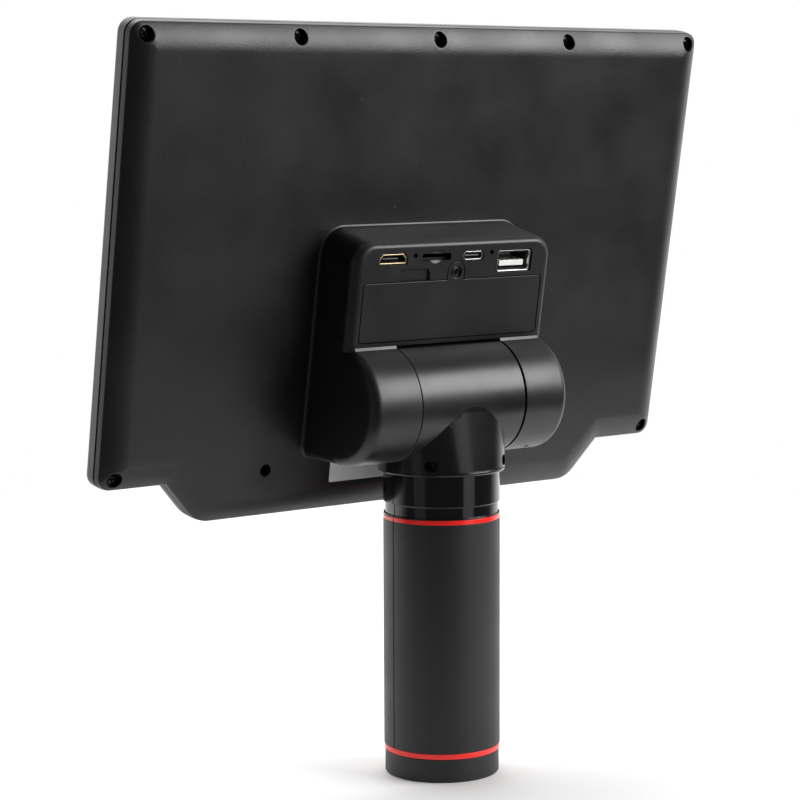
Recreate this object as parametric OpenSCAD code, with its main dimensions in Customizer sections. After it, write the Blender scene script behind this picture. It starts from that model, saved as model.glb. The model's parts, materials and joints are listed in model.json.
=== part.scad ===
// Digital microscope with a tilting LCD head on a T-shaped neck above its barrel.
// The barrel stands on its focus ring, with its axis along Z and the screen facing -Y.

/* [Barrel] */
// Diameter of the barrel
barrel_d = 42; // [41.5:0.1:42.5]
// Height of the top of the barrel's matte part
barrel_top = 92.9; // [90:0.5:94]
// Wall thickness of the half shells
barrel_wall = 2.4; // [2.2:0.1:2.6]
// Height of the focus ring below the lower red ring
focus_ring_h = 8.4; // [8:0.1:8.6]
// Radius of the focus ring
focus_ring_r = 20.6; // [20.4:0.1:20.8]
// Height at which the glossy neck begins
neck_step_z = 99; // [98:0.5:100]
// Radius of the spigot that plugs into the T
spigot_r = 18.6; // [18.4:0.1:18.8]

/* [T neck] */
// Height of the bottom of the collar
collar_z = 110.1; // [109.5:0.1:111]
// Radius of the collar
collar_r = 22.8; // [22.6:0.1:22.9]
// Height at which the neck starts to narrow
cone_z = 118; // [117:0.5:119]
// Radius at which the neck runs into the hinge cylinder
cone_top_r = 19.25; // [19.2:0.01:19.3]
// Height of the four locking screws
lock_z = 113.9; // [113.5:0.1:114.5]

/* [Hinge] */
// Distance of the tilt axis in front of the barrel axis
hinge_y = 1.6; // [1.5:0.1:1.7]
// Height of the tilt axis
hinge_z = 135.3; // [135:0.1:135.6]
// Radius of the hinge cylinder and the ears
hinge_r = 20.8; // [20.6:0.1:20.9]
// Backward lean of the display in its upright stop
rest_tilt = 9.44; // [9:0.1:10]
// Radius of the steel hinge tube
tube_r = 7; // [6.5:0.1:7.2]

/* [Display] */
// Width of the display
display_w = 253.6; // [252:0.2:255]
// Top edge of the display above the tilt axis
display_top = 130.4; // [129:0.2:131]
// Bottom edge of the display below the tilt axis
display_drop = 29; // [28.6:0.1:29.4]
// Depth of the button chin below the bottom edge
chin_h = 15.1; // [14.5:0.1:15.5]
// Distance of the back plane in front of the tilt axis
back_gap = 17.9; // [17.8:0.1:18]
// Thickness from the back plane to the front face
display_t = 11.6; // [11.4:0.1:12]
// Drop of the sloping border
border_drop = 3.7; // [3.4:0.1:3.8]
// Width of the sloping border
border_w = 9.5; // [9:0.5:11]
// Wall thickness of the display shells
wall = 2.2; // [2:0.1:2.3]

/* [Screen] */
// Width of the visible picture
picture_w = 219; // [217:0.5:220]
// Height of the visible picture
picture_h = 137.4; // [136:0.2:138]
// Width of the backlight unit
panel_w = 235; // [233:0.5:236]
// Height of the backlight unit
panel_h = 143; // [142:0.5:143]
// Height of the picture's centre above the tilt axis
picture_v = 50; // [49.5:0.1:50.5]

/* [Port housing] */
// Width of the housing at its base
housing_w = 90.2; // [89.5:0.1:91]
// Top of the housing above the tilt axis
housing_top = 60.1; // [59.5:0.1:60.5]
// Distance of the port face behind the tilt axis
port_face = 2.2; // [2:0.1:2.4]
// Height of the port centres above the tilt axis
port_v = 52.6; // [52.4:0.1:52.8]

/* [Battery] */
// Width of the battery cover
cover_w = 80.2; // [80:0.1:80.4]
// Lower edge of the battery cover above the tilt axis
cover_v = 23.2; // [23.1:0.1:23.4]
// Height of the battery cover
cover_h = 21; // [20.8:0.1:21.2]
// Diameter of the battery cell
cell_d = 18.3; // [18:0.1:18.4]
// Length of the battery cell
cell_l = 65; // [64:0.5:66]

/* [Buttons] */
// Number of buttons on the chin
button_n = 7; // [7:1:7]
// Spacing of the buttons
button_pitch = 20; // [18:0.5:22]
// Radius of a button
button_r = 3.4; // [3:0.1:3.8]

/* [Hidden] */
$fn = 64;
barrel_r = barrel_d / 2;
bore_r = barrel_r - barrel_wall;
ring_gap = 0.1;
barrel_z0 = focus_ring_h + 2.1;
band_h = 1.5;
band_chamfer = 0.5;
band_depth = 1.2;
band_top = barrel_top + band_h + band_chamfer;
neck_low_r = barrel_r - 0.65;
spigot_top = 120.5;
spigot_bore = 16.2;
lock_turn = 42.5;

// heights of the parts inside the barrel
sleeve_r = 18.2;
bearing_gap = 0.05;
flange_z = 14.6;
flange_h = 2.4;
flange_r = 18.9;
cam_r = 14.2;
cam_depth = 1.6;
cam_z = 26;
focus_travel = 4;
pin_r = 1.4;
guide_r = 12.2;
guide_wall = 1.4;
guide_top = 67.3;
guide_flange = 1.6;
ledge_r = 17.2;
board_t = 1.6;
camera_side = 24;
camera_hole = 9.6;
led_ring_r = 10.8;
led_n = 8;
window_z = 1.6;
window_r = 17.6;

// display planes, measured along the screen normal from the tilt axis
back_w = -back_gap;
front_w = back_w - display_t;
split_w = back_w - 6.1;
split_gap = 0.5;
frame_w = split_w - split_gap;
bezel_t = 1.6;
panel_back_w = front_w + bezel_t + 4.4;
panel_front_w = front_w + bezel_t + 0.1;
display_bottom = -display_drop;
corner_r = 5;
chin_r = 12;
chin_slope = 48;
chin_top_u = 99.3;
chin_low_u = chin_top_u - chin_h / tan(chin_slope) - chin_r * tan(chin_slope / 2);
chin_low_v = display_bottom - chin_h + chin_r;
chin_root_v = -10;
chin_root_u = chin_top_u + (chin_root_v - display_bottom) / tan(chin_slope)
    - chin_r / sin(chin_slope);

// T ends, ears and their gaps
tee_half = 23.2;
ear_gap_left = 0.2;
ear_gap_right = 0.95;
ear_end = 44.1;
ear_round = 3.6;
trough_gap = 0.85;
trough_wall = 2;
scoop_r = collar_r + 0.5;
ear_wall = 2.6;
bush_wall = 1.5;
bush_flange = 0.8;
nut_h = 3;
end_plate = 3.7;
tee_wall = 3.5;

// screws
screw_head_r = 2;
screw_head_h = 1.3;
screw_r = 1.1;
sink_r = 2.7;
seat_w = back_w - 4.7;
chin_hole_r = 2.15;
side_u = 121.2;
top_v = 126;
low_v = -24.7;
mid_u = 60.3;
chin_hole_v = -26.2;
shell_screw_at = [[-side_u, top_v], [-mid_u, top_v], [0, top_v], [mid_u, top_v],
    [side_u, top_v], [-side_u, low_v], [side_u, low_v]];
chin_screw_at = [[-mid_u, chin_hole_v], [mid_u, chin_hole_v]];
housing_screw_at = [[-39.4, 52], [39.4, 52], [-39.4, -14], [39.4, -14]];
board_screw_at = [[-56, 64], [56, 64], [-56, 104], [56, 104]];
boss_r = 2.9;

// ports
hdmi_u = 28.1;
sd_u = 9.1;
usb_c_u = -7.6;
usb_a_u = -26.7;
usb_a_v = 50.1;
socket_board_v = 54.5;
charge_hole_u = 18.5;
mic_hole_u = -15.9;

// battery bay, and the opening of the rear shell under it
bay_u = 40;
cell_v = cover_v + cover_h / 2 - 0.1;
cell_w = port_face - 2.1 - cell_d / 2;
tray_wall = 1.1;
tray_floor_w = cell_w - cell_d / 2 - 0.2;
tab_r = 3.75;
tab_u = -0.4;
tab_v = 47;
cover_t = 1.5;
cover_gap = 0.25;

// buttons
button_v = -36.4;
button_out = 0.9;

// ---- shared shapes ----

// places its children in the display's frame: x across, y out of the back, z up the display
module on_display() {
    translate([0, -hinge_y, hinge_z]) rotate([-rest_tilt, 0, 0]) children();
}

// a flat shape given across and up the display, from depth w0 to depth w1
module plate(w0, w1) {
    translate([0, w1, 0]) rotate([90, 0, 0]) linear_extrude(w1 - w0) children();
}

// a post along the display's normal
module post(r, w0, w1, at) {
    translate([at[0], w1, at[1]]) rotate([90, 0, 0]) cylinder(r = r, h = w1 - w0);
}

// a cylinder about the tilt axis
module axle(r, u0, u1) {
    translate([u0, 0, 0]) rotate([0, 90, 0]) cylinder(r = r, h = u1 - u0);
}

// a box given by its low and high corners
module box(low, high) {
    translate(low) cube(high - low);
}

module round_rect(w, h, r) {
    square([w - 2 * r, h], center = true);
    square([w, h - 2 * r], center = true);
    for (x = [-1, 1], y = [-1, 1])
        translate([x * (w / 2 - r), y * (h / 2 - r)]) circle(r);
}

module stadium(w, h) {
    square([w - h, h], center = true);
    for (x = [-1, 1]) translate([x * (w - h) / 2, 0]) circle(d = h);
}

// the display's outline above the chin, drawn in by inset
module main_outline(inset) {
    r = max(corner_r - inset, 0.7);
    x = display_w / 2 - inset - r;
    for (s = [-1, 1], v = [display_bottom + inset + r, display_top - inset - r])
        translate([s * x, v]) circle(r, $fn = 32);
}

// the chin's outline, which runs up into the main outline
module chin_outline(inset) {
    r = max(chin_r - inset, 0.7);
    for (s = [-1, 1]) {
        translate([s * chin_low_u, chin_low_v]) circle(r, $fn = 32);
        translate([s * chin_root_u, chin_root_v]) circle(r, $fn = 32);
    }
}

// depth of the border's soft bend at a share of the border's width, 0 inside and 1 at the rim
function bend(share) = border_drop * share * (0.15 + 0.85 * share);

// a display shell with its sloping border, drawn in by inset and lowered, down to depth end_w
module sloped_shell(inset, lower, end_w) {
    for (part = [0, 1]) hull() for (share = [0, 0.25, 0.5, 0.8, 1])
        plate(end_w, back_w - lower - bend(share))
            outline_part(part, inset + border_w * (1 - share));
}

module outline_part(part, inset) {
    if (part == 0) main_outline(inset);
    else chin_outline(inset);
}

// a screw with its head's seat at depth w0 and its shank towards the screen
module screw(at, w0, length, head_r, head_h, shank_r) {
    difference() {
        post(head_r, w0, w0 + head_h, at);
        for (turn = [0, 90])
            translate([at[0], w0 + head_h, at[1]]) rotate([0, turn, 0])
                cube([head_r * 1.2, head_h, head_r * 0.28], center = true);
    }
    post(shank_r, w0 - length, w0, at);
}

// ---- barrel ----

// half of a turned part, on the rear side or the front side of the barrel's split
module half_turn(front) {
    rotate([0, 0, front ? 180 : 0]) rotate_extrude(angle = 180, $fn = 128) children();
}

module barrel_profile() {
    land_r = sleeve_r + bearing_gap;
    polygon([
        [land_r, focus_ring_h + 0.3], [barrel_r - 1.4, focus_ring_h + 0.3],
        [barrel_r - 1.4, barrel_z0], [barrel_r, barrel_z0], [barrel_r, barrel_top],
        [barrel_r - band_depth, barrel_top], [barrel_r - band_depth, band_top + 0.3],
        [neck_low_r, band_top + 0.3], [neck_low_r, neck_step_z], [barrel_r, neck_step_z],
        [barrel_r, collar_z - 0.1], [spigot_r, collar_z - 0.1], [spigot_r, spigot_top],
        [spigot_bore, spigot_top], [spigot_bore, collar_z - 3], [bore_r, collar_z - 5],
        [bore_r, guide_top + 2.2], [ledge_r, guide_top + 2.2], [ledge_r, guide_top + 0.1],
        [bore_r, guide_top + 0.1], [bore_r, guide_top - guide_flange - 0.1],
        [ledge_r, guide_top - guide_flange - 0.1], [ledge_r, guide_top - guide_flange - 2],
        [bore_r, guide_top - guide_flange - 3.4], [bore_r, flange_z + flange_h + 2],
        [flange_r + 0.3, flange_z + flange_h + 0.3], [flange_r + 0.3, flange_z - 0.3],
        [land_r, flange_z - 0.3]
    ]);
}

module barrel_front_shell() {
    color("#1c1d1f") difference() {
        half_turn(true) barrel_profile();
        lock_holes(1.5, spigot_bore - 1, spigot_r + 1);
    }
}

module barrel_rear_shell() {
    color("#1c1d1f") difference() {
        half_turn(false) barrel_profile();
        lock_holes(1.5, spigot_bore - 1, spigot_r + 1);
    }
}

module upper_red_band() {
    in_r = barrel_r - band_depth;
    color("#d93636") for (front = [false, true])
        half_turn(front) polygon([[in_r, barrel_top], [barrel_r, barrel_top],
            [barrel_r, barrel_top + band_h], [barrel_r - band_chamfer, band_top],
            [in_r, band_top]]);
}

module lower_red_ring() {
    in_r = barrel_r - 1.4;
    color("#d93636") rotate_extrude($fn = 128) polygon([
        [in_r, focus_ring_h + ring_gap], [focus_ring_r + 0.1, focus_ring_h + ring_gap],
        [barrel_r, barrel_z0], [in_r, barrel_z0]]);
}

// ---- T neck ----

// radius of the tapering neck, which bulges a little
function cone_r(z) =
    let (share = (z - cone_z) / (hinge_z - cone_z))
    collar_r - (collar_r - cone_top_r) * share * (0.75 + 0.25 * share);

module tee_outer() {
    round_r = 1.8;
    rotate_extrude($fn = 128) polygon(concat(
        [[0, collar_z]],
        [for (a = [-90:18:0])
            [collar_r - round_r + round_r * cos(a), collar_z + round_r + round_r * sin(a)]],
        [for (z = [cone_z:3.46:hinge_z + 4]) [cone_r(z), z]],
        [[0, hinge_z + 4]]
    ));
    translate([0, -hinge_y, hinge_z]) axle(hinge_r, -tee_half, tee_half);
}

module tee_neck() {
    inner = tee_half - end_plate;
    color("#26282a") difference() {
        tee_outer();
        translate([0, 0, collar_z - 1]) cylinder(r = spigot_r + 0.05, h = 12);
        translate([0, 0, collar_z]) cylinder(r = spigot_bore, h = hinge_z - collar_z - 4);
        translate([0, -hinge_y, hinge_z]) {
            axle(hinge_r - tee_wall, -inner, inner);
            axle(tube_r + bush_wall, -tee_half - 1, tee_half + 1);
            for (s = [-1, 1]) translate([s * tee_half, 0, 0])
                axle(tube_r + 4, -bush_flange, bush_flange);
        }
        lock_slots();
    }
}

// the four radial screw holes of the spigot
module lock_holes(r, r0, r1) {
    for (a = [lock_turn:90:360]) rotate([0, 0, a]) translate([r0, 0, lock_z])
        rotate([0, 90, 0]) cylinder(r = r, h = r1 - r0);
}

// the four wide holes of the collar, which let the neck be turned a little before locking
module lock_slots() {
    slot_r = 1.9;
    slot_w = 5.1;
    for (a = [lock_turn:90:360]) rotate([0, 0, a]) translate([spigot_r - 1, 0, lock_z])
        rotate([0, 90, 0]) linear_extrude(6) rotate(90) stadium(slot_w, 2 * slot_r);
}

module neck_lock_screws() {
    color("#2b2b2b") difference() {
        lock_holes(1.5, spigot_bore + 0.2, spigot_r + 0.9);
        lock_holes(0.7, spigot_r - 0.4, spigot_r + 2);
    }
}

module hinge_bushes() {
    outer = tube_r + bush_wall;
    color("#d8d4c8") translate([0, -hinge_y, hinge_z]) for (s = [-1, 1])
        difference() {
            union() {
                axle(outer, s > 0 ? tee_half - end_plate : -tee_half,
                    s > 0 ? tee_half : end_plate - tee_half);
                axle(tube_r + 3.8, s > 0 ? tee_half - bush_flange : -tee_half,
                    s > 0 ? tee_half : bush_flange - tee_half);
            }
            axle(tube_r + 0.05, -tee_half - 1, tee_half + 1);
        }
}

// ---- camera and light inside the barrel ----

module lens_guide_tube() {
    outer = guide_r + guide_wall;
    slot_low = cam_z - focus_travel - pin_r - 0.6;
    slot_high = cam_z + focus_travel + pin_r + 0.6;
    color("#3a3c3e") difference() {
        union() {
            translate([0, 0, barrel_z0]) cylinder(r = outer, h = guide_top - barrel_z0);
            translate([0, 0, guide_top - guide_flange])
                cylinder(r = bore_r - 0.1, h = guide_flange);
        }
        translate([0, 0, barrel_z0 - 1]) cylinder(r = guide_r, h = guide_top - barrel_z0 - 4);
        translate([0, 0, guide_top - 8]) cylinder(r = 8.5, h = 10);
        for (a = [30:120:270]) rotate([0, 0, a])
            box([guide_r - 2, -pin_r - 0.1, slot_low], [outer + 1, pin_r + 0.1, slot_high]);
        camera_corners() translate([0, 0, guide_top - 4]) cylinder(r = 0.8, h = 5);
    }
}

module camera_corners() {
    for (x = [-1, 1], y = [-1, 1]) translate([x * camera_hole, y * camera_hole, 0]) children();
}

module camera_board() {
    color("#1f5a36") difference() {
        translate([-camera_side / 2, -camera_side / 2, guide_top])
            cube([camera_side, camera_side, board_t]);
        camera_corners() translate([0, 0, guide_top - 1]) cylinder(r = 1, h = 4);
    }
    color("#222222") translate([-4.5, -4.5, guide_top + board_t]) cube([9, 9, 1]);
}

module image_sensor() {
    color("#3b4650") translate([-6, -4.5, guide_top - 1.2]) cube([12, 9, 1.2]);
}

module camera_screws() {
    color("#b9bcc0") camera_corners() {
        translate([0, 0, guide_top + board_t]) cylinder(r = 1.6, h = 1);
        translate([0, 0, guide_top - 3.5]) cylinder(r = 0.8, h = 3.5 + board_t);
    }
}

module led_board() {
    color("#e8e8e2") translate([0, 0, barrel_z0 - board_t]) difference() {
        cylinder(r = guide_r + guide_wall - 0.2, h = board_t);
        translate([0, 0, -1]) cylinder(r = 8, h = board_t + 2);
    }
}

module leds() {
    color("#fff6d8") for (i = [0:led_n - 1]) rotate([0, 0, i * 360 / led_n])
        translate([led_ring_r, 0, barrel_z0 - board_t - 1.6]) cylinder(r = 1.5, h = 1.6);
}

module signal_ribbon() {
    ribbon_w = 12;
    low = guide_top + board_t + 1;
    color("#c98a2b") box([-ribbon_w / 2, -0.2, low], [ribbon_w / 2, 0.2, hinge_z - tube_r - 1]);
}

module focus_ring() {
    lip_r = 15;
    low = cam_z - focus_travel - pin_r - 0.8;
    high = cam_z + focus_travel + pin_r + 0.8;
    top = high + 2;
    shoulder = flange_z + flange_h;
    color("#222426") rotate_extrude($fn = 128) polygon([
        [lip_r, 0], [focus_ring_r - 0.6, 0], [focus_ring_r, 0.6], [focus_ring_r, focus_ring_h],
        [sleeve_r, focus_ring_h], [sleeve_r, flange_z], [flange_r, flange_z],
        [flange_r, shoulder], [cam_r + 2.6, shoulder], [cam_r + 2.6, top], [cam_r, top],
        [cam_r, high], [cam_r + cam_depth, high], [cam_r + cam_depth, low], [cam_r, low],
        [cam_r, focus_ring_h + 2], [window_r, focus_ring_h + 1], [window_r, window_z],
        [lip_r, window_z]
    ]);
}

module front_window() {
    color("#cfe4ea", 0.4) translate([0, 0, window_z]) cylinder(r = window_r - 0.1, h = 1.5);
}

module lens_carrier() {
    carrier_low = 15;
    carrier_high = 37;
    color("#2e3032") difference() {
        translate([0, 0, carrier_low])
            cylinder(r = guide_r - 0.05, h = carrier_high - carrier_low);
        translate([0, 0, carrier_low + 1]) cylinder(r = 9, h = carrier_high - carrier_low - 2);
        translate([0, 0, carrier_low - 1]) cylinder(r = 7.5, h = 30);
        for (a = [30:120:270]) rotate([0, 0, a]) translate([8, 0, cam_z])
            rotate([0, 90, 0]) cylinder(r = pin_r, h = 6);
    }
}

module follower_pins() {
    color("#c9ccd0") for (a = [30:120:270]) rotate([0, 0, a]) translate([9.4, 0, cam_z])
        rotate([0, 90, 0]) cylinder(r = pin_r, h = cam_r + cam_depth - 0.4 - 9.4);
}

// a lens with two curved faces, standing on height z
module lens(r, edge, bulge, z) {
    ball = (r * r + bulge * bulge) / (2 * bulge);
    translate([0, 0, z]) rotate_extrude($fn = 96) polygon(concat(
        [for (a = [0:0.2:1]) [r * a, bulge - ball + sqrt(ball * ball - r * r * a * a) + edge]],
        [for (a = [1:-0.2:0]) [r * a, ball - bulge - sqrt(ball * ball - r * r * a * a)]]
    ));
}

module objective_lens() {
    color("#d6ecf2", 0.5) lens(8.95, 2.4, 0.9, 17);
}

module field_lens() {
    color("#d6ecf2", 0.5) lens(8.95, 2, 0.7, 32);
}

// ---- display shells ----

module trough() {
    reach = tee_half + 1.2;
    axle(hinge_r + trough_gap, -reach, reach);
}

module collar_scoop() {
    rotate([rest_tilt, 0, 0]) translate([0, hinge_y, -hinge_z])
        translate([0, 0, 100]) cylinder(r = scoop_r, h = 40, $fn = 128);
}

module rear_shell() {
    color("#2a2c2e") on_display() difference() {
        union() {
            difference() {
                sloped_shell(0, 0, split_w);
                sloped_shell(wall, wall, split_w - 1);
            }
            intersection() {
                axle(hinge_r + trough_gap + trough_wall, -27, 27);
                box([-27, split_w + 0.7, -40], [27, back_w - 0.5, 40]);
            }
            for (at = shell_screw_at) post(boss_r + 0.6, split_w, back_w - 3, at);
            for (at = chin_screw_at) post(boss_r, split_w, back_w - 1, at);
            for (at = board_screw_at) post(boss_r, back_w - 3.7, back_w - 1, at);
        }
        trough();
        collar_scoop();
        for (at = shell_screw_at) {
            post(sink_r, seat_w, back_w + 1, at);
            post(screw_r + 0.2, split_w - 1, back_w, at);
        }
        for (at = chin_screw_at) {
            post(chin_hole_r, seat_w, back_w + 1, at);
            post(screw_r + 0.2, split_w - 1, back_w, at);
        }
        for (at = housing_screw_at) post(screw_r + 0.2, back_w - 4, back_w + 1, at);
        for (at = board_screw_at) post(0.8, back_w - 4, back_w - 1.4, at);
        box([-bay_u, back_w - 4, cover_v], [bay_u, back_w + 1, 57]);
        box([-33, back_w - 4, 17], [-28, back_w + 1, 23]);
        box([28, back_w - 4, 17], [33, back_w + 1, 23]);
    }
}

// ---- port housing ----

// the block behind the ports, a stack of rounded outlines
module housing_block() {
    side_fall = 0.4;
    top_fall = 1.4;
    edge = 3.8;
    edge_top = 2.4;
    base_v = 10;
    hull() {
        housing_slice(back_w + 0.1, 0, 0, base_v, 10);
        for (a = [0:22.5:90])
            housing_slice(port_face - edge + edge * sin(a),
                side_fall + edge * (1 - cos(a)), top_fall + edge_top * (1 - cos(a)), base_v, 9);
    }
}

// the block up to depth w, drawn in at the sides and at the top, from base_v up
module housing_slice(w, side_in, top_in, base_v, r) {
    half = housing_w / 2 - side_in;
    top = housing_top - top_in;
    corner = max(r - top_in, 5);
    plate(back_w, w) {
        for (s = [-1, 1]) {
            translate([s * (half - corner), top - corner]) circle(corner, $fn = 32);
            translate([s * (half - 1), base_v]) square(2, center = true);
        }
    }
}

// the block that joins the ears to the back plane
module ear_root() {
    half = housing_w / 2;
    drop = 22.8;
    r = 4;
    hull() {
        plate(back_w, back_w + 0.5) for (s = [-1, 1]) {
            translate([s * (half - r), r - drop]) circle(r, $fn = 32);
            translate([s * (half - r), 12]) circle(r, $fn = 32);
        }
        for (s = [-1, 1], v = [-1, 1])
            translate([s * (ear_end - 2), 0, v * (hinge_r - 2)]) rotate([90, 0, 0])
                cylinder(r = 2, h = 1, $fn = 32);
    }
}

// an ear's turned shape, with its rounded outer end
module ear(side) {
    inner = side > 0 ? tee_half + ear_gap_left : tee_half + ear_gap_right;
    rotate([0, side * 90, 0]) rotate_extrude($fn = 96) polygon(concat(
        [[0, inner], [hinge_r, inner]],
        [for (a = [0:15:90]) [hinge_r - ear_round + ear_round * cos(a),
            ear_end - ear_round + ear_round * sin(a)]],
        [[0, ear_end]]
    ));
}

module port_openings() {
    out = port_face + 1;
    plate(-1, out) {
        translate([hdmi_u, port_v]) hdmi_shape(0.25);
        translate([sd_u, port_v]) stadium(13.1, 2);
        translate([usb_c_u, port_v]) stadium(9.4, 3.6);
        translate([usb_a_u, usb_a_v]) round_rect(15.9, 8.1, 0.8);
    }
    post(0.85, -1, out, [charge_hole_u, port_v + 0.8]);
    post(0.8, -1, out, [mic_hole_u, port_v + 1]);
    translate([sd_u, port_face + 0.6, port_v]) scale([1, 1, 0.7]) sphere(3.4, $fn = 48);
    box([12.1, port_face - 0.9, cover_v + cover_h - 0.2], [25, out, cover_v + cover_h + 4.3]);
}

// the mouth of a mini-HDMI socket, wide side down, grown by gap
module hdmi_shape(gap) {
    w = 11.2 / 2 + gap;
    h = 3.4 / 2 + gap;
    polygon([[-w, -h], [w, -h], [w, h - 1.3], [w - 1.3, h], [1.3 - w, h], [-w, h - 1.3]]);
}

module port_housing() {
    cavity_u = housing_w / 2 - 3;
    left = tee_half + ear_gap_left;
    right = tee_half + ear_gap_right;
    ear_in = tee_half + 0.95 + ear_wall;
    cell_hole = cover_h - 1.2;
    color("#2b2d2f") on_display() difference() {
        union() {
            difference() {
                union() {
                    housing_block();
                    ear_root();
                    ear(1);
                    ear(-1);
                }
                // open inside, above the T and in the ears
                box([-cavity_u, back_w - 1, hinge_r + trough_gap + trough_wall],
                    [cavity_u, port_face - wall, housing_top - 3.9]);
                for (s = [-1, 1]) translate([s * (ear_in + cavity_u) / 2, 0, 0]) {
                    half = (cavity_u - ear_in) / 2;
                    axle(hinge_r - 2.4, -half, half);
                    box([-half, back_w - 1, 2.4 - hinge_r], [half, 0, hinge_r + 3]);
                }
            }
            for (at = housing_screw_at) post(boss_r, back_w, -8, at);
            post(boss_r, -9, port_face - 0.5, [tab_u, tab_v]);
        }
        // flat against the rear shell, with a gap that the T turns in
        box([-60, back_w - 10, -40], [60, back_w, 80]);
        box([-right, back_w - 1, -40], [left, 30, 0]);
        axle(hinge_r + trough_gap, -right, left);
        // battery opening, with the tab's seat
        plate(-2, port_face + 1) translate([0, cover_v + cover_h / 2])
            round_rect(cover_w - 2.4, cell_hole, 1.2);
        plate(port_face - cover_t - 0.1, port_face + 1) cover_shape(cover_gap);
        post(1.3, -8, port_face + 1, [tab_u, tab_v]);
        port_openings();
        for (at = housing_screw_at) post(screw_r, back_w - 1, back_w + 7, at);
        axle(tube_r, -30, 30);
    }
}

module cover_shape(gap) {
    translate([0, cover_v + cover_h / 2])
        round_rect(cover_w + 2 * gap, cover_h + 2 * gap, 1.4 + gap);
    translate([tab_u, tab_v]) circle(tab_r + gap);
    translate([tab_u - tab_r - gap, cover_v + cover_h - 1])
        square([2 * (tab_r + gap), tab_v - cover_v - cover_h + 1]);
}

// ---- front of the display ----

module front_frame() {
    edge = 1.3;
    pocket_w = front_w + bezel_t;
    color("#3a3c3f") on_display() difference() {
        for (part = [0, 1]) hull() {
            for (a = [0:22.5:90])
                plate(front_w + edge * (1 - sin(a)), frame_w)
                    outline_part(part, edge * (1 - cos(a)));
        }
        plate(front_w - 1, frame_w + 1) translate([0, picture_v])
            round_rect(picture_w, picture_h, 0.8);
        plate(pocket_w, frame_w + 1) translate([0, picture_v])
            square([panel_w + 0.6, panel_h + 0.6], center = true);
        box([-76, pocket_w, -42], [76, frame_w + 1, display_bottom + 1]);
        for (at = concat(shell_screw_at, chin_screw_at))
            post(screw_r, pocket_w, frame_w + 1, at);
        for (i = [0:button_n - 1]) post(button_r + 0.3, front_w - 1, pocket_w + 1, button_at(i));
    }
}

module lcd_cell() {
    color("#101216") on_display() plate(panel_front_w, panel_front_w + 1.8)
        translate([0, picture_v]) square([panel_w - 3, panel_h - 3], center = true);
}

module backlight_unit() {
    color("#b4b7ba") on_display() plate(panel_front_w + 1.8, panel_back_w)
        translate([0, picture_v]) square([panel_w, panel_h], center = true);
}

// ---- electronics ----

module main_board() {
    low_w = back_w - 4.9;
    high_w = back_w - 3.7;
    color("#1f5a36") on_display() difference() {
        union() {
            box([-62, low_w, 60], [62, high_w, 108]);
            box([-30, low_w, 50], [30, high_w, 61]);
            box([-12, high_w, 74], [4, high_w + 1.2, 90]);
            box([14, high_w, 76], [28, high_w + 1, 88]);
        }
        for (at = board_screw_at) post(1, low_w - 1, high_w + 1, at);
    }
}

module board_screws() {
    color("#b9bcc0") on_display() for (at = board_screw_at) {
        post(1.8, back_w - 5.5, back_w - 4.9, at);
        post(0.8, back_w - 4.9, back_w - 1.9, at);
    }
}

module socket_board() {
    color("#1f5a36") on_display() box([-36, back_w - 3.6, socket_board_v],
        [36, port_face - wall - 0.3, socket_board_v + 1.5]);
}

module mini_hdmi_socket() {
    shell_back = port_face - 8;
    color("#c8a24a") on_display() difference() {
        plate(shell_back, port_face - 0.6) translate([hdmi_u, port_v]) hdmi_shape(0);
        plate(shell_back + 1.5, port_face) translate([hdmi_u, port_v]) hdmi_shape(-0.35);
    }
    color("#1a1a1a") on_display() box([hdmi_u - 4, shell_back + 1, port_v - 0.4],
        [hdmi_u + 4, port_face - 1.4, port_v + 0.3]);
}

module micro_sd_socket() {
    deep = port_face - 15;
    color("#1d1e20") on_display() difference() {
        box([sd_u - 7, deep, port_v - 1.2], [sd_u + 7, port_face - wall - 0.2, socket_board_v]);
        plate(deep + 1, port_face) translate([sd_u, port_v]) square([11.8, 1.4], center = true);
    }
}

module usb_c_socket() {
    deep = port_face - 7.5;
    color("#cfd2d5") on_display() difference() {
        plate(deep, port_face - 0.3) translate([usb_c_u, port_v]) stadium(9, 3.2);
        plate(deep + 1, port_face) translate([usb_c_u, port_v]) stadium(8.4, 2.6);
    }
    color("#1a1a1a") on_display() box([usb_c_u - 3.3, deep + 0.5, port_v - 0.35],
        [usb_c_u + 3.3, port_face - 1.2, port_v + 0.35]);
}

module usb_a_socket() {
    deep = port_face - 14.5;
    color("#cfd2d5") on_display() difference() {
        plate(deep, port_face - 0.7) translate([usb_a_u, usb_a_v]) round_rect(14.5, 7, 0.6);
        plate(deep + 0.5, port_face) translate([usb_a_u, usb_a_v]) round_rect(13.9, 6.4, 0.4);
    }
}

module usb_a_tongue() {
    deep = port_face - 14;
    color("#f2f2ee") on_display() {
        box([usb_a_u - 5.6, deep, usb_a_v - 2.1], [usb_a_u + 5.6, port_face - 1.8, usb_a_v - 0.1]);
        box([usb_a_u - 6.6, deep, usb_a_v - 0.1], [usb_a_u + 6.6, deep + 4, usb_a_v + 2.9]);
    }
}

module charge_light() {
    color("#e9efe9") on_display()
        post(1.4, -3, port_face - wall - 0.1, [charge_hole_u, port_v + 0.4]);
}

module microphone() {
    color("#9a9da0") on_display() post(1.9, -4, port_face - wall - 0.1, [mic_hole_u, port_v - 0.1]);
}

module housing_screws() {
    color("#2b2b2b") on_display() for (at = housing_screw_at) {
        post(1.9, back_w - wall - 1.2, back_w - wall, at);
        post(screw_r, back_w - wall, back_w + 6.5, at);
    }
}

module shell_screws() {
    color("#1b1b1b") on_display() for (at = shell_screw_at)
        screw(at, seat_w, 4.6, screw_head_r, screw_head_h, screw_r);
}

module chin_screws() {
    color("#1b1b1b") on_display() for (at = chin_screw_at)
        screw(at, seat_w, 4.6, screw_head_r - 0.1, screw_head_h, screw_r);
}

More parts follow.
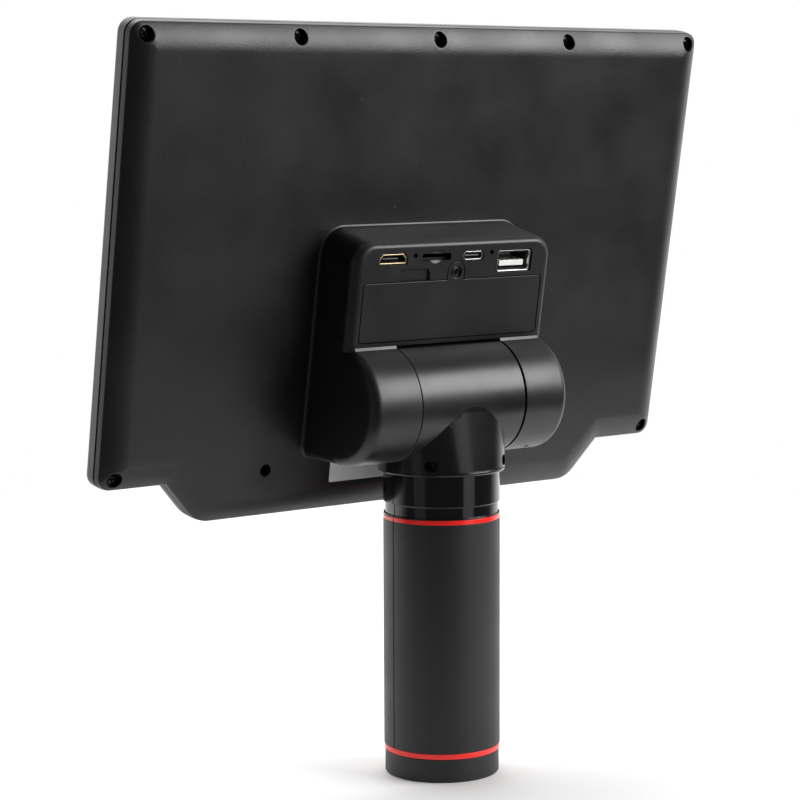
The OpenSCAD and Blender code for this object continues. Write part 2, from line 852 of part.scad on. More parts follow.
// ---- hinge parts on the display ----

module hinge_tube() {
    half = tee_half + 1 + ear_wall + nut_h + 1;
    color("#9fa3a7") on_display() difference() {
        axle(tube_r, -half, half);
        axle(tube_r - 2, -half - 1, half + 1);
        box([-8, -tube_r - 1, -tube_r - 1], [8, tube_r + 1, -2]);
    }
}

module hinge_nuts() {
    color("#9fa3a7") on_display() for (s = [-1, 1]) {
        start = tee_half + 1 + ear_wall;
        translate([s * (start + nut_h / 2), 0, 0]) difference() {
            rotate([0, 90, 0]) cylinder(r = 10.5, h = nut_h, center = true, $fn = 6);
            axle(tube_r, -nut_h, nut_h);
        }
    }
}

module wave_washer() {
    color("#b9bcc0") on_display() difference() {
        axle(11, -tee_half - ear_gap_right, -tee_half - 0.05);
        axle(tube_r, -tee_half - 2, -tee_half + 1);
    }
}

// ---- battery ----

module battery_tray() {
    low_v = cover_v + 0.6;
    high_v = cover_v + cover_h - 0.6;
    half = cover_w / 2 - 1.2;
    top = port_face - wall - 0.1;
    color("#33363a") on_display() difference() {
        box([-half, tray_floor_w - tray_wall, low_v], [half, top, high_v]);
        box([tray_wall - half, tray_floor_w, cell_v - cell_d / 2 - 0.15],
            [half - tray_wall, top + 1, cell_v + cell_d / 2 + 0.15]);
    }
}

module battery_cell() {
    color("#2f6fb0") on_display() translate([0, cell_w, cell_v]) {
        axle(cell_d / 2, -cell_l / 2, cell_l / 2 - 1.2);
        axle(3, cell_l / 2 - 1.2, cell_l / 2);
    }
}

module battery_contacts() {
    half = cover_w / 2 - 1.2 - tray_wall;
    color("#c9ccd0") on_display() translate([0, cell_w, cell_v]) for (s = [-1, 1]) {
        box([s > 0 ? half - 0.5 : -half, -7, -6], [s > 0 ? half : 0.5 - half, 7, 6]);
        axle(3.2, s > 0 ? cell_l / 2 : 0.5 - half, s > 0 ? half - 0.5 : -cell_l / 2);
    }
}

module battery_cover() {
    color("#26282a") on_display() difference() {
        plate(port_face - cover_t, port_face) cover_shape(0);
        post(2.35, port_face - 0.9, port_face + 1, [tab_u, tab_v]);
        post(1.2, -2, port_face + 1, [tab_u, tab_v]);
    }
}

module cover_screw() {
    color("#1b1b1b") on_display() screw([tab_u, tab_v], port_face - 0.9, 6, 1.9, 0.65, 1);
}

// ---- buttons ----

function button_at(i) = [(i - (button_n - 1) / 2) * button_pitch, button_v];

module button_board() {
    high_w = frame_w - 0.1;
    low_w = high_w - 1.2;
    color("#1f5a36") on_display() {
        box([-74, low_w, -40.5], [74, high_w, display_bottom - 0.5]);
        for (i = [0:button_n - 1]) post(1.6, low_w - 0.5, low_w, button_at(i));
    }
}

module button(i) {
    flange_w = front_w + bezel_t + 0.1;
    color("#4a4d50") on_display() {
        post(button_r, front_w - button_out, flange_w, button_at(i));
        post(button_r + 0.9, flange_w, flange_w + 0.7, button_at(i));
    }
}

module rating_label() {
    color("#b9bbbd") on_display() box([4, back_w, -33.2], [32.2, back_w + 0.12, -23.4]);
}

module button_power() { button(0); }
module button_menu() { button(1); }
module button_up() { button(2); }
module button_ok() { button(3); }
module button_down() { button(4); }
module button_mode() { button(5); }
module button_light() { button(6); }

barrel_front_shell();
barrel_rear_shell();
upper_red_band();
lower_red_ring();
tee_neck();
neck_lock_screws();
hinge_bushes();
lens_guide_tube();
camera_board();
image_sensor();
camera_screws();
led_board();
leds();
signal_ribbon();
focus_ring();
front_window();
lens_carrier();
follower_pins();
objective_lens();
field_lens();
rear_shell();
port_housing();
front_frame();
lcd_cell();
backlight_unit();
main_board();
board_screws();
socket_board();
mini_hdmi_socket();
micro_sd_socket();
usb_c_socket();
usb_a_socket();
usb_a_tongue();
charge_light();
microphone();
housing_screws();
shell_screws();
chin_screws();
hinge_tube();
hinge_nuts();
wave_washer();
battery_tray();
battery_cell();
battery_contacts();
button_board();
rating_label();
battery_cover();
cover_screw();
button_power();
button_menu();
button_up();
button_ok();
button_down();
button_mode();
button_light();
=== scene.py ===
import json
import bmesh
import bpy
from math import atan2, copysign, cos, degrees, hypot, pi, radians, sin, tan
from mathutils import Matrix, Vector
from mathutils.geometry import delaunay_2d_cdt


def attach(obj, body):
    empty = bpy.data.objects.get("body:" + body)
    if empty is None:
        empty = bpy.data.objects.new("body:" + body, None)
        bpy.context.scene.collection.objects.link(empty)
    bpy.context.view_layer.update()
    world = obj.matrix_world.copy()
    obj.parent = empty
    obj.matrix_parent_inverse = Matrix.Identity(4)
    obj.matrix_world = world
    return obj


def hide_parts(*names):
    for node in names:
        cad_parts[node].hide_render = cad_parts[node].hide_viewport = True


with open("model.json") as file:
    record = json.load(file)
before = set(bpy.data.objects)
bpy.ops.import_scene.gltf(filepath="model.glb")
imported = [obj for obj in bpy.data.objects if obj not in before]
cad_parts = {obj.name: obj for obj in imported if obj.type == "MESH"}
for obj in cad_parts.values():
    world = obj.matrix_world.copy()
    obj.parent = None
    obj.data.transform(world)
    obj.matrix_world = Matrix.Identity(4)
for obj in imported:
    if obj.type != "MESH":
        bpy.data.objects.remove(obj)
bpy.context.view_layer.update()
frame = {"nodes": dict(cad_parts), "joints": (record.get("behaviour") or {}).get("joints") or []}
joints = {joint["name"]: joint for joint in frame["joints"]}

# the display's own frame: x across, y out of its back, z up its face, in millimetres from the tilt axis
mm = 0.001
hingePoint = Vector(joints["display_tilt"]["pos_m"])
liftAxis = Vector(joints["cover_lift"]["axis"])
lean = atan2(-liftAxis.z, liftAxis.y)
onBarrel = Matrix.Scale(mm, 4)
onDisplay = Matrix.Translation(hingePoint) @ Matrix.Rotation(-lean, 4, "X") @ onBarrel
onHinge = Matrix.Translation(hingePoint) @ onBarrel


def linearColour(code, alpha=1.0):  # sRGB hex to linear
    parts = [int(code[i:i + 2], 16) / 255 for i in (1, 3, 5)]
    return [p / 12.92 if p <= 0.04045 else ((p + 0.055) / 1.055) ** 2.4 for p in parts] + [alpha]


def addNode(tree, kind, inputs=None, **settings):
    # shader nodes go by their short names
    node = tree.nodes.new(kind if "Node" in kind else "ShaderNode" + kind)
    for key, value in settings.items():
        setattr(node, key, value)
    for key, value in (inputs or {}).items():
        if isinstance(value, bpy.types.NodeSocket):
            tree.links.new(value, node.inputs[key])
        else:
            node.inputs[key].default_value = value
    return node


def startMaterial(name, shader):
    material = bpy.data.materials.new(name)
    material.use_nodes = True
    tree = material.node_tree
    tree.nodes.clear()
    surface = addNode(tree, "BsdfPrincipled", shader)
    addNode(tree, "OutputMaterial", {"Surface": surface.outputs[0]})
    place = addNode(tree, "TexCoord").outputs["Object"]
    return material, tree, surface, place


def noise(tree, place, sizeMm, detail, roughness=0.5):
    return addNode(tree, "TexNoise", {
        "Vector": place, "Scale": 1000 / sizeMm, "Detail": detail, "Roughness": roughness}).outputs["Fac"]


def ramp(tree, value, low, high, start=0.0, end=1.0, kind="LINEAR"):
    return addNode(tree, "MapRange", {
        "Value": value, "From Min": low, "From Max": high, "To Min": start, "To Max": end},
        interpolation_type=kind).outputs[0]


def blend(tree, share, first, second):
    return addNode(tree, "Mix", {
        "Factor": share, "A": first, "B": second}, data_type="RGBA").outputs["Result"]


def mouldedPlastic(name, colour, look):
    # ABS out of a spark-eroded mould: an even fine grain, soft sheen, and handling marks
    material, tree, surface, place = startMaterial(name, {"IOR": 1.53})
    dark = linearColour(colour)
    worn = [min(1, c * look.get("mottle", 1.25)) for c in dark[:3]] + [1]
    clouds = ramp(tree, noise(tree, place, 45, 5.0, 0.55), 0.35, 0.7)
    tint = blend(tree, clouds, dark, worn)
    if "dust" in look:
        # a speck of dust here and there
        cells = addNode(tree, "TexVoronoi", {
            "Vector": place, "Scale": 1000 / look.get("dustMm", 14), "Randomness": 1.0})
        specks = ramp(tree, cells.outputs["Distance"], 0.012, 0.022, look["dust"], 0.0)
        tint = blend(tree, specks, tint, linearColour("#9a9a98"))
    tree.links.new(tint, surface.inputs["Base Color"])
    rough, vary = look["rough"], look.get("roughVary", 0.04)
    rub = noise(tree, place, look.get("rubMm", 18), 3.0)
    rubbed = ramp(tree, rub, 0.3, 0.7, rough - vary, rough + vary)
    tree.links.new(rubbed, surface.inputs["Roughness"])
    if "grainMm" in look:
        bump = addNode(tree, "Bump", {
            "Height": noise(tree, place, look["grainMm"], 2.0, 0.6), "Strength": look["grain"],
            "Distance": look["grainMm"] * mm * 0.25})
        tree.links.new(bump.outputs[0], surface.inputs["Normal"])
    return material


def metal(name, colour, rough, brushMm=0.6):
    # plated or drawn steel: a faint streak along the sheet keeps its gloss uneven
    material, tree, surface, place = startMaterial(name, {
        "Base Color": linearColour(colour), "Metallic": 1.0})
    streak = addNode(tree, "Mapping", {"Vector": place, "Scale": (1.0, 1.0, 0.08)})
    gloss = ramp(tree, noise(tree, streak.outputs[0], brushMm, 3.0), 0.0, 1.0, rough * 0.7, rough * 1.3)
    tree.links.new(gloss, surface.inputs["Roughness"])
    return material


def plainGloss(name, colour, rough, extra=None):
    # smooth moulded or coated stuff whose colour drifts only a little
    material, tree, surface, place = startMaterial(name, dict({"Roughness": rough}, **(extra or {})))
    base = linearColour(colour)
    light = [min(1, c * 1.12) for c in base[:3]] + [1]
    tree.links.new(blend(tree, noise(tree, place, 6.0, 2.0), base, light), surface.inputs["Base Color"])
    return material


def circuitBoard(name, trackMm=6.0):
    # glass-epoxy board: green mask over copper tracks, drawn coarse so that they show
    material, tree, surface, place = startMaterial(name, {"Roughness": 0.35, "IOR": 1.5})
    tracks = addNode(tree, "TexBrick", {
        "Vector": place, "Color1": linearColour("#1b4d30"), "Color2": linearColour("#1f5636"),
        "Mortar": linearColour("#2f7048"), "Scale": 1000 / trackMm, "Mortar Size": 0.03})
    tree.links.new(tracks.outputs["Color"], surface.inputs["Base Color"])
    return material


print("materials")
stuff = {
    # ABS shells: dark and even, with a broad dull sheen that handling breaks up
    "shell": mouldedPlastic("matt black ABS, spark-eroded grain", "#090a0b", {
        "rough": 0.4, "roughVary": 0.06, "rubMm": 26, "grainMm": 0.9, "grain": 0.22, "dust": 0.5}),
    "frame": mouldedPlastic("matt black ABS, front frame", "#0c0d0e", {
        "rough": 0.42, "grainMm": 0.9, "grain": 0.15, "mottle": 1.1}),
    "housing": mouldedPlastic("satin black ABS", "#090a0b", {
        "rough": 0.39, "grainMm": 0.7, "grain": 0.12, "dust": 0.35, "dustMm": 18, "mottle": 1.15}),
    "neck": mouldedPlastic("satin black ABS, turned neck", "#070809", {
        "rough": 0.33, "grainMm": 0.6, "grain": 0.06, "dust": 0.3, "dustMm": 20}),
    # polished ABS: black with sharp upright reflections
    "glossNeck": mouldedPlastic("polished black ABS", "#060708", {
        "rough": 0.12, "roughVary": 0.02, "mottle": 1.1}),
    "neckFoot": mouldedPlastic("half-polished black ABS", "#08090a", {
        "rough": 0.22, "roughVary": 0.03, "dust": 0.4, "dustMm": 16, "mottle": 1.1}),
    # the barrel's coarser etch spreads the light and hides its seam
    "barrel": mouldedPlastic("matt black barrel ABS", "#0a0b0c", {
        "rough": 0.5, "grainMm": 0.6, "grain": 0.12, "mottle": 1.12}),
    # moulded trims and connectors: one flat colour, each with its own shine
    "redGloss": plainGloss("glossy red ABS", "#ff2a24", 0.16),
    "redMatt": plainGloss("red ABS ring", "#ff2c26", 0.3),
    "whitePlastic": plainGloss("white connector nylon", "#f1f1ec", 0.35),
    "darkPlastic": plainGloss("black connector nylon", "#0d0d0d", 0.5),
    # the tongues' light grey is a painted highlight
    "tongueHighlightGrey": plainGloss("grey tongue, painted highlight", "#707274", 0.4),
    "blackout": plainGloss("blackened lock screw", "#050506", 0.6),
    "acetal": plainGloss("natural acetal", "#d6d1c4", 0.4),
    # plated metals: small bright edges, uneven along the sheet
    "blackScrew": metal("black oxide steel", "#343437", 0.34, 0.4),
    "steel": metal("zinc-plated steel", "#a9acb0", 0.3),
    "brightSteel": metal("nickel-plated steel", "#d9dadb", 0.16),
    "gold": metal("gold-flashed shell", "#ecd2a8", 0.26),
    "contact": metal("gold contact", "#d2a048", 0.22),
    # films, glass and resin
    "board": circuitBoard("glass-epoxy board"),
    "label": plainGloss("silver polyester film", "#eceef0", 0.34),
    "screen": plainGloss("dark polarised screen glass", "#060709", 0.07, {"Coat Weight": 0.5}),
    "tray": metal("aluminium backlight tray", "#b8babc", 0.35),
    "clear": plainGloss("clear acrylic", "#eef5f6", 0.04, {"Transmission Weight": 1.0, "IOR": 1.49}),
    "led": plainGloss("white LED epoxy", "#f5e9b8", 0.25),
    "sensor": plainGloss("sensor cover glass", "#1c2b33", 0.08),
    "film": plainGloss("amber polyimide film", "#b8762a", 0.3),
    "cell": plainGloss("blue PVC cell sleeve", "#2f67a8", 0.3),
    "button": mouldedPlastic("soft-touch grey ABS", "#2c2e30", {
        "rough": 0.5, "grainMm": 0.5, "grain": 0.1}),
}


def filleted(corners, segments=6):
    # corners are (x, y) or (x, y, radius); round corners become arcs
    outline = []
    for i, corner in enumerate(corners):
        here = Vector(corner[:2])
        if len(corner) < 3 or corner[2] == 0:
            outline.append(here)
            continue
        before = (Vector(corners[i - 1][:2]) - here).normalized()
        after = (Vector(corners[(i + 1) % len(corners)][:2]) - here).normalized()
        half = before.angle(after) / 2
        centre = here + (before + after).normalized() * corner[2] / sin(half)
        arm = here + before * corner[2] / tan(half) - centre
        end = here + after * corner[2] / tan(half) - centre
        turn = atan2(end.y, end.x) - atan2(arm.y, arm.x)
        turn = (turn + pi) % (2 * pi) - pi
        for k in range(segments + 1):
            angle = turn * k / segments
            outline.append(centre + Vector((
                arm.x * cos(angle) - arm.y * sin(angle),
                arm.x * sin(angle) + arm.y * cos(angle))))
    return outline


def linked(name, data):
    thing = bpy.data.objects.new(name, data)
    bpy.context.scene.collection.objects.link(thing)
    return thing


def newObject(name, points, faces):
    mesh = bpy.data.meshes.new(name)
    mesh.from_pydata([tuple(p) for p in points], [], faces)
    mesh.update()
    return linked(name, mesh)


def tidyMesh(thing, merge=0.001):
    work = bmesh.new()
    work.from_mesh(thing.data)
    bmesh.ops.remove_doubles(work, verts=work.verts, dist=merge)
    bmesh.ops.dissolve_degenerate(work, edges=work.edges, dist=merge)
    bmesh.ops.delete(work, geom=[e for e in work.edges if not e.link_faces], context="EDGES")
    bmesh.ops.recalc_face_normals(work, faces=work.faces)
    work.to_mesh(thing.data)
    work.free()
    return thing


def turned(name, profile, start=0.0, sweep=360.0, steps=128, along="Z"):
    # a closed profile of (radius, height) turned about Z, about X or about the display's depth
    whole = sweep >= 360
    rows = steps if whole else steps + 1
    points = []
    for i in range(rows):
        angle = radians(start + sweep * i / steps)
        for radius, height in profile:
            x, y = radius * cos(angle), radius * sin(angle)
            points.append({"Z": (x, y, height), "X": (height, x, y), "W": (x, height, y)}[along])
    count = len(profile)
    faces = []
    for i in range(steps):
        a, b = i * count, ((i + 1) % rows) * count
        for k in range(count):
            n = (k + 1) % count
            faces.append((a + k, a + n, b + n, b + k))
    if not whole:
        faces.append(tuple(range(count)))
        faces.append(tuple(range((rows - 1) * count, rows * count)))
    return tidyMesh(newObject(name, points, faces))


def rod(radius, low, high, along="X", steps=128, name="tool"):
    return turned(name, [(0, low), (radius, low), (radius, high), (0, high)], along=along, steps=steps)


def atDepth(loop, depth):
    return [(p[0], depth, p[1]) for p in loop]


def sideFaces(start, count, layers):
    # the skin between rings of count points, numbered on from start
    return [(a + k, a + (k + 1) % count, a + count + (k + 1) % count, a + count + k)
            for a in range(start, start + (layers - 1) * count, count) for k in range(count)]


def lofted(name, rings):
    # closed rings of the same number of points, skinned and capped
    points = [p for ring in rings for p in ring]
    count = len(rings[0])
    faces = sideFaces(0, count, len(rings))
    faces.append(tuple(range(count)))
    faces.append(tuple(range((len(rings) - 1) * count, len(rings) * count)))
    return tidyMesh(newObject(name, points, faces))


def prism(outline, low, high, name="tool"):
    # an outline across and up the display, from depth low to depth high
    return lofted(name, [atDepth(outline, depth) for depth in (low, high)])


def drawn(name, outline, steps):
    # an outline that grows or shrinks from one depth to the next
    return lofted(name, [atDepth(outline(grow), depth) for depth, grow in steps])


def block(low, high, name="tool"):
    outline = [(low[0], low[2]), (high[0], low[2]), (high[0], high[2]), (low[0], high[2])]
    return prism(outline, low[1], high[1], name)


def disc(radius, centre, steps=32):
    return [Vector((centre[0] + radius * cos(2 * pi * i / steps),
                    centre[1] + radius * sin(2 * pi * i / steps))) for i in range(steps)]


def pegs(radius, places, low, high, steps=20):
    return [prism(disc(radius, at, steps), low, high) for at in places]


def applyModifiers(thing):
    view = bpy.context.evaluated_depsgraph_get()
    view.update()
    mesh = bpy.data.meshes.new_from_object(
        thing.evaluated_get(view), preserve_all_data_layers=True, depsgraph=view)
    thing.modifiers.clear()
    thing.data = mesh
    return thing


def combine(base, tools, how="DIFFERENCE"):
    for tool in tools:
        step = base.modifiers.new("combine", "BOOLEAN")
        step.operation = how
        step.solver = "EXACT"
        step.object = tool
        applyModifiers(base)
        tidyMesh(base, 0.004)
        bpy.data.objects.remove(tool)


def softenEdges(thing, width, segments=2, angle=35):
    step = thing.modifiers.new("soften", "BEVEL")
    step.width = width
    step.segments = segments
    step.limit_method = "ANGLE"
    step.angle_limit = radians(angle)
    step.miter_outer = "MITER_ARC"
    step.use_clamp_overlap = True
    return applyModifiers(thing)


def smoothed(thing, angle=32):
    thing.data.shade_smooth()
    thing.data.set_sharp_from_angle(angle=radians(angle))
    step = thing.modifiers.new("weigh", "WEIGHTED_NORMAL")
    step.keep_sharp = True
    applyModifiers(thing)


def onHead(thing, material, stands, slotName, angle=32):
    settle(thing, onDisplay, material, "display", stands, slotName, angle)


def settle(thing, matrix, material, body, stands, slotName, angle=32):
    # puts a finished piece in its place, in metres, hangs it on its body and hides the solids it stands for
    smoothed(thing, angle)
    thing.data.transform(matrix)
    thing.data.materials.clear()
    thing.data.materials.append(stuff[material])
    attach(thing, body)
    if stands:
        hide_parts(*stands)


print("shapes ready")

barrel = {
    "radius": 21.0, "wall": 2.4, "bottom": 10.5, "top": 92.9, "bandDepth": 1.2,
    "bandTop": 94.6, "lip": 0.5, "neckLow": 20.35, "neckStep": 99.0, "neckTop": 110.0,
    "spigot": 18.6, "spigotTop": 120.5, "spigotBore": 16.2, "seam": 0.24, "seamTurn": -3.5, "edge": 0.25,
    "seat": 19.6, "skirt": 1.8, "lipRadius": 20.92,
}


def halfTurn(name, profile, rear):
    # the seam leaves a hair's breadth between the halves
    gap = degrees(barrel["seam"] / barrel["radius"])
    start = (0 if rear else 180) + barrel["seamTurn"] + gap
    return turned(name, profile, start, 180 - 2 * gap, 96)


def barrelProfile():
    b = barrel
    inner, outer, groove = b["radius"] - b["wall"], b["radius"], b["radius"] - b["bandDepth"]
    lipTop = b["bandTop"] + b["lip"]
    return filleted([
        (inner, b["bottom"] - b["skirt"]), (b["seat"], b["bottom"] - b["skirt"]),
        (b["seat"], b["bottom"]), (outer, b["bottom"], b["edge"]), (outer, b["top"], 0.15),
        (groove, b["top"]), (groove, b["bandTop"]), (b["lipRadius"], b["bandTop"], 0.1),
        (b["lipRadius"], lipTop, 0.2), (b["neckLow"], lipTop, 0.1), (b["neckLow"], b["neckStep"], 0.3),
        (outer, b["neckStep"], 0.3), (outer, b["neckTop"]), (b["spigot"], b["neckTop"]),
        (b["spigot"], b["spigotTop"]),
        (b["spigotBore"], b["spigotTop"]), (b["spigotBore"], b["neckTop"] - 3),
        (inner, b["neckTop"] - 5)], 4)


def secondFinish(thing, material, chosen):
    # faces picked by their middle point take a second material
    thing.data.materials.append(stuff[material])
    for face in thing.data.polygons:
        if chosen(face.center):
            face.material_index = 1


for name, node, rear in (("barrelFront", "barrel_front_shell", False),
                         ("barrelRear", "barrel_rear_shell", True)):
    shell = halfTurn(name, barrelProfile(), rear)
    settle(shell, onBarrel, "barrel", "barrel", (node,), "black_abs")
    secondFinish(shell, "glossNeck", lambda point: point.z > barrel["bandTop"] * mm)

bandIn = barrel["radius"] - barrel["bandDepth"]
bandProfile = filleted([
    (bandIn, barrel["top"]), (barrel["radius"], barrel["top"], 0.1),
    (barrel["radius"], barrel["bandTop"] - 0.06, 0.25), (bandIn, barrel["bandTop"] - 0.06)], 4)
bandHalves = [halfTurn("upperBand", bandProfile, rear) for rear in (True, False)]
combine(bandHalves[0], [bandHalves[1]], "UNION")
settle(bandHalves[0], onBarrel, "redGloss", "barrel", ("upper_red_band",), "red_plastic")

focus = {
    "radius": 20.6, "height": 8.4, "lip": 15.0, "window": 17.6, "recess": 1.6,
    "groove": (18.2, 18.9, 14.6, 17.0), "sleeve": (14.2, 16.8, 34.2),
}
ringLow, ringHigh = focus["height"] + 0.12, barrel["bottom"] - 0.02
ringProfile = filleted([
    (barrel["seat"], ringLow), (focus["radius"] + 0.1, ringLow, 0.12),
    (barrel["radius"], ringHigh, 0.15), (barrel["seat"], ringHigh)], 4)
settle(turned("lowerRing", ringProfile), onBarrel, "redMatt", "barrel", ("lower_red_ring",), "red_plastic")

grooveIn, grooveOut, grooveLow, grooveHigh = focus["groove"]
sleeveIn, sleeveOut, sleeveTop = focus["sleeve"]
focusProfile = filleted([
    (focus["lip"], 0, 0.3), (focus["radius"], 0, 0.7), (focus["radius"], focus["height"], 0.2),
    (grooveIn, focus["height"]), (grooveIn, grooveLow), (grooveOut, grooveLow), (grooveOut, grooveHigh),
    (sleeveOut, grooveHigh), (sleeveOut, sleeveTop), (sleeveIn, sleeveTop), (sleeveIn, focus["height"] + 2),
    (focus["window"], focus["height"] + 1), (focus["window"], focus["recess"]),
    (focus["lip"], focus["recess"])], 5)
settle(turned("focusRing", focusProfile), onBarrel, "barrel", "focus_ring", ("focus_ring",), "black_abs")
print("barrel done")

tee = {
    "collarZ": 110.1, "collar": 22.8, "roundLow": 0.8, "lip": 1.5,
    "wide": (22.75, 23.15), "deep": (21.8, 19.05), "power": 2.15,
    "axis": 135.3, "radius": 20.8, "half": 23.2, "endEdge": 0.15, "bore": 8.55,
    "lockZ": 113.9, "lockTurn": 42.5, "slotWide": 5.1, "slotHigh": 3.8,
    "foot": 0.4, "ringStep": 2.4, "rings": 12, "fit": 0.05, "socketLow": 100, "socketTop": 131,
}
hingeOnBarrel = onBarrel.inverted() @ onHinge


def neckSection(z):
    # a rounded section whose front and back lean in a little towards the hinge
    share = (z - tee["collarZ"]) / (tee["axis"] - tee["collarZ"])
    power = 2 / (tee["power"] + 0.2 * share)
    wide, deep = (tee[key][0] + (tee[key][1] - tee[key][0]) * share for key in ("wide", "deep"))
    section = []
    for i in range(160):
        c, s = cos(pi * i / 80), sin(pi * i / 80)
        section.append((copysign(wide * abs(c) ** power, c),
                        copysign(deep * abs(s) ** power, s), z))
    return section


collarZ = tee["collarZ"]
teeNeck = lofted("teeNeck", [
    neckSection(collarZ + tee["foot"] + k * tee["ringStep"]) for k in range(tee["rings"])])
lip = turned("tool", filleted([
    (0, collarZ), (barrel["spigot"], collarZ), (tee["collar"], collarZ, tee["roundLow"]),
    (tee["collar"], collarZ + tee["lip"], 0.5), (0, collarZ + tee["lip"])], 6), steps=160)
combine(teeNeck, [lip], "UNION")

half, edge, hingeR = tee["half"], tee["endEdge"], tee["radius"]
spool = turned("spool", filleted([
    (0, -half), (hingeR, -half, edge), (hingeR, half, edge), (0, half)], 4), steps=160, along="X")
spool.data.transform(hingeOnBarrel)
combine(teeNeck, [spool], "UNION")
bore = rod(tee["bore"], -40, 40)
bore.data.transform(hingeOnBarrel)
socketR, socketStep = barrel["spigot"] + tee["fit"], barrel["spigotTop"] + 0.7
socket = turned("tool", [
    (0, tee["socketLow"]), (socketR, tee["socketLow"]), (socketR, socketStep),
    (barrel["spigotBore"], socketStep), (barrel["spigotBore"], tee["socketTop"]), (0, tee["socketTop"])])
tools = [bore, socket]
for k in range(4):
    slot = filleted([(x * tee["slotWide"] / 2, y * tee["slotHigh"] / 2, tee["slotHigh"] * 0.46)
                     for x, y in ((-1, -1), (1, -1), (1, 1), (-1, 1))], 6)
    tool = prism(slot, 16.0, 30.0)
    tool.data.transform(Matrix.Rotation(radians(tee["lockTurn"] - 90 + 90 * k), 4, "Z")
                        @ Matrix.Translation((0, 0, tee["lockZ"])))
    tools.append(tool)
combine(teeNeck, tools)
settle(teeNeck, onBarrel, "neck", "barrel", ("tee_neck",), "black_satin", 28)
# the collar and cone are polished, the hinge part is not
secondFinish(teeNeck, "neckFoot", lambda point: hypot(
    point.y - hingePoint.y, point.z - hingePoint.z) > (hingeR + 0.02) * mm)
print("neck done")


# rear shell: a flat back whose border bends softly down to the rim
display = {
    "width": 253.6, "top": 130.4, "bottom": -29.0, "corner": 5.0,
    "chinHigh": 15.1, "chinRound": 12.0, "chinSlope": 48.0, "chinTop": 99.3,
    "back": -17.9, "split": -24.0, "frame": -24.5, "front": -29.5,
    "borderDrop": 3.7, "borderWide": 9.5, "wall": 2.2, "rim": 0.7, "lean": 0.3, "frontEdge": 1.3,
    "troughRadius": 21.65, "troughHalf": 24.4, "hingeWall": 23.65, "hingeWallHalf": 27, "scoopRadius": 23.3,
    "slopeSteps": (1.4, 2.3, 3.3, 4.3, 5.3, 6.3, 7.3, 8.2, 9.0, 9.8, 11.5),
    "rollSteps": (34, 48, 62, 76, 90),
}
screws = {
    "seat": -22.6, "sink": 2.7, "chinHole": 2.15, "shank": 1.3, "rim": 0.3,
    "post": 3.5, "smallPost": 2.9, "pilot": 1.1,
    "shell": [(-121.2, 126), (-60.3, 126), (0, 126), (60.3, 126), (121.2, 126),
              (-121.2, -24.7), (121.2, -24.7)],
    "chin": [(-60.3, -26.2), (60.3, -26.2)],
    "housing": [(-39.4, 52), (39.4, 52), (-39.4, -14), (39.4, -14)],
}
slope = radians(display["chinSlope"])
chinShift = (1 - cos(slope)) / sin(slope)
chinCorner = display["chinTop"] - display["chinHigh"] / tan(slope)


def displayOutline(inset, spacing=0.0):
    d = display
    half, top, low = d["width"] / 2 - inset, d["top"] - inset, d["bottom"] + inset
    chin = d["bottom"] - d["chinHigh"] + inset
    small, large = max(d["corner"] - inset, 0.6), max(d["chinRound"] - inset, 1.5)
    side, corner = d["chinTop"] - chinShift * inset, chinCorner - chinShift * inset
    loop = filleted([
        (half, top, small), (-half, top, small), (-half, low, small), (-side, low),
        (-corner, chin, large), (corner, chin, large), (side, low), (half, low, small)], 8)
    if not spacing:
        return loop
    dense = []
    for here, after in zip(loop, loop[1:] + loop[:1]):
        count = max(1, round((after - here).length / spacing))
        dense += [here.lerp(after, k / count) for k in range(count)]
    return dense


def softCorner(a, b, sharpness):
    # joins two edges' slopes round a corner of the outline
    a, b = max(a, 0.0), max(b, 0.0)
    return (a ** sharpness + b ** sharpness) ** (1 / sharpness) if a + b > 0 else 0.0


def bend(share):
    return display["borderDrop"] * share * (0.15 + 0.85 * share)


def borderShare(u, v):
    d = display
    wide, u = d["borderWide"], abs(u)
    side = 1 - (d["width"] / 2 - u) / wide
    level = max(1 - (d["top"] - v) / wide, 1 - (v - d["bottom"]) / wide)
    main = softCorner(side, level, 2.6 + 2.25 * min(max(side, level, 0.0), 1.0))
    if v > d["bottom"] + wide:
        return min(main, 1.0)
    slant = sin(slope) * (d["chinTop"] - u) + cos(slope) * (v - d["bottom"])
    chin = softCorner(1 - slant / wide, 1 - (v - d["bottom"] + d["chinHigh"]) / wide, 7.0)
    return min(main, chin, 1.0)


def backDepth(point):
    return display["back"] - bend(borderShare(point.x, point.y))


def onSlope(loop, fall=0.0):
    return [(p.x, backDepth(p) - fall, p.y) for p in loop]


def insideLoop(point, loop):
    hit = False
    for a, b in zip(loop, loop[1:] + loop[:1]):
        if (a.y > point.y) != (b.y > point.y):
            if point.x < (b.x - a.x) * (point.y - a.y) / (b.y - a.y) + a.x:
                hit = not hit
    return hit


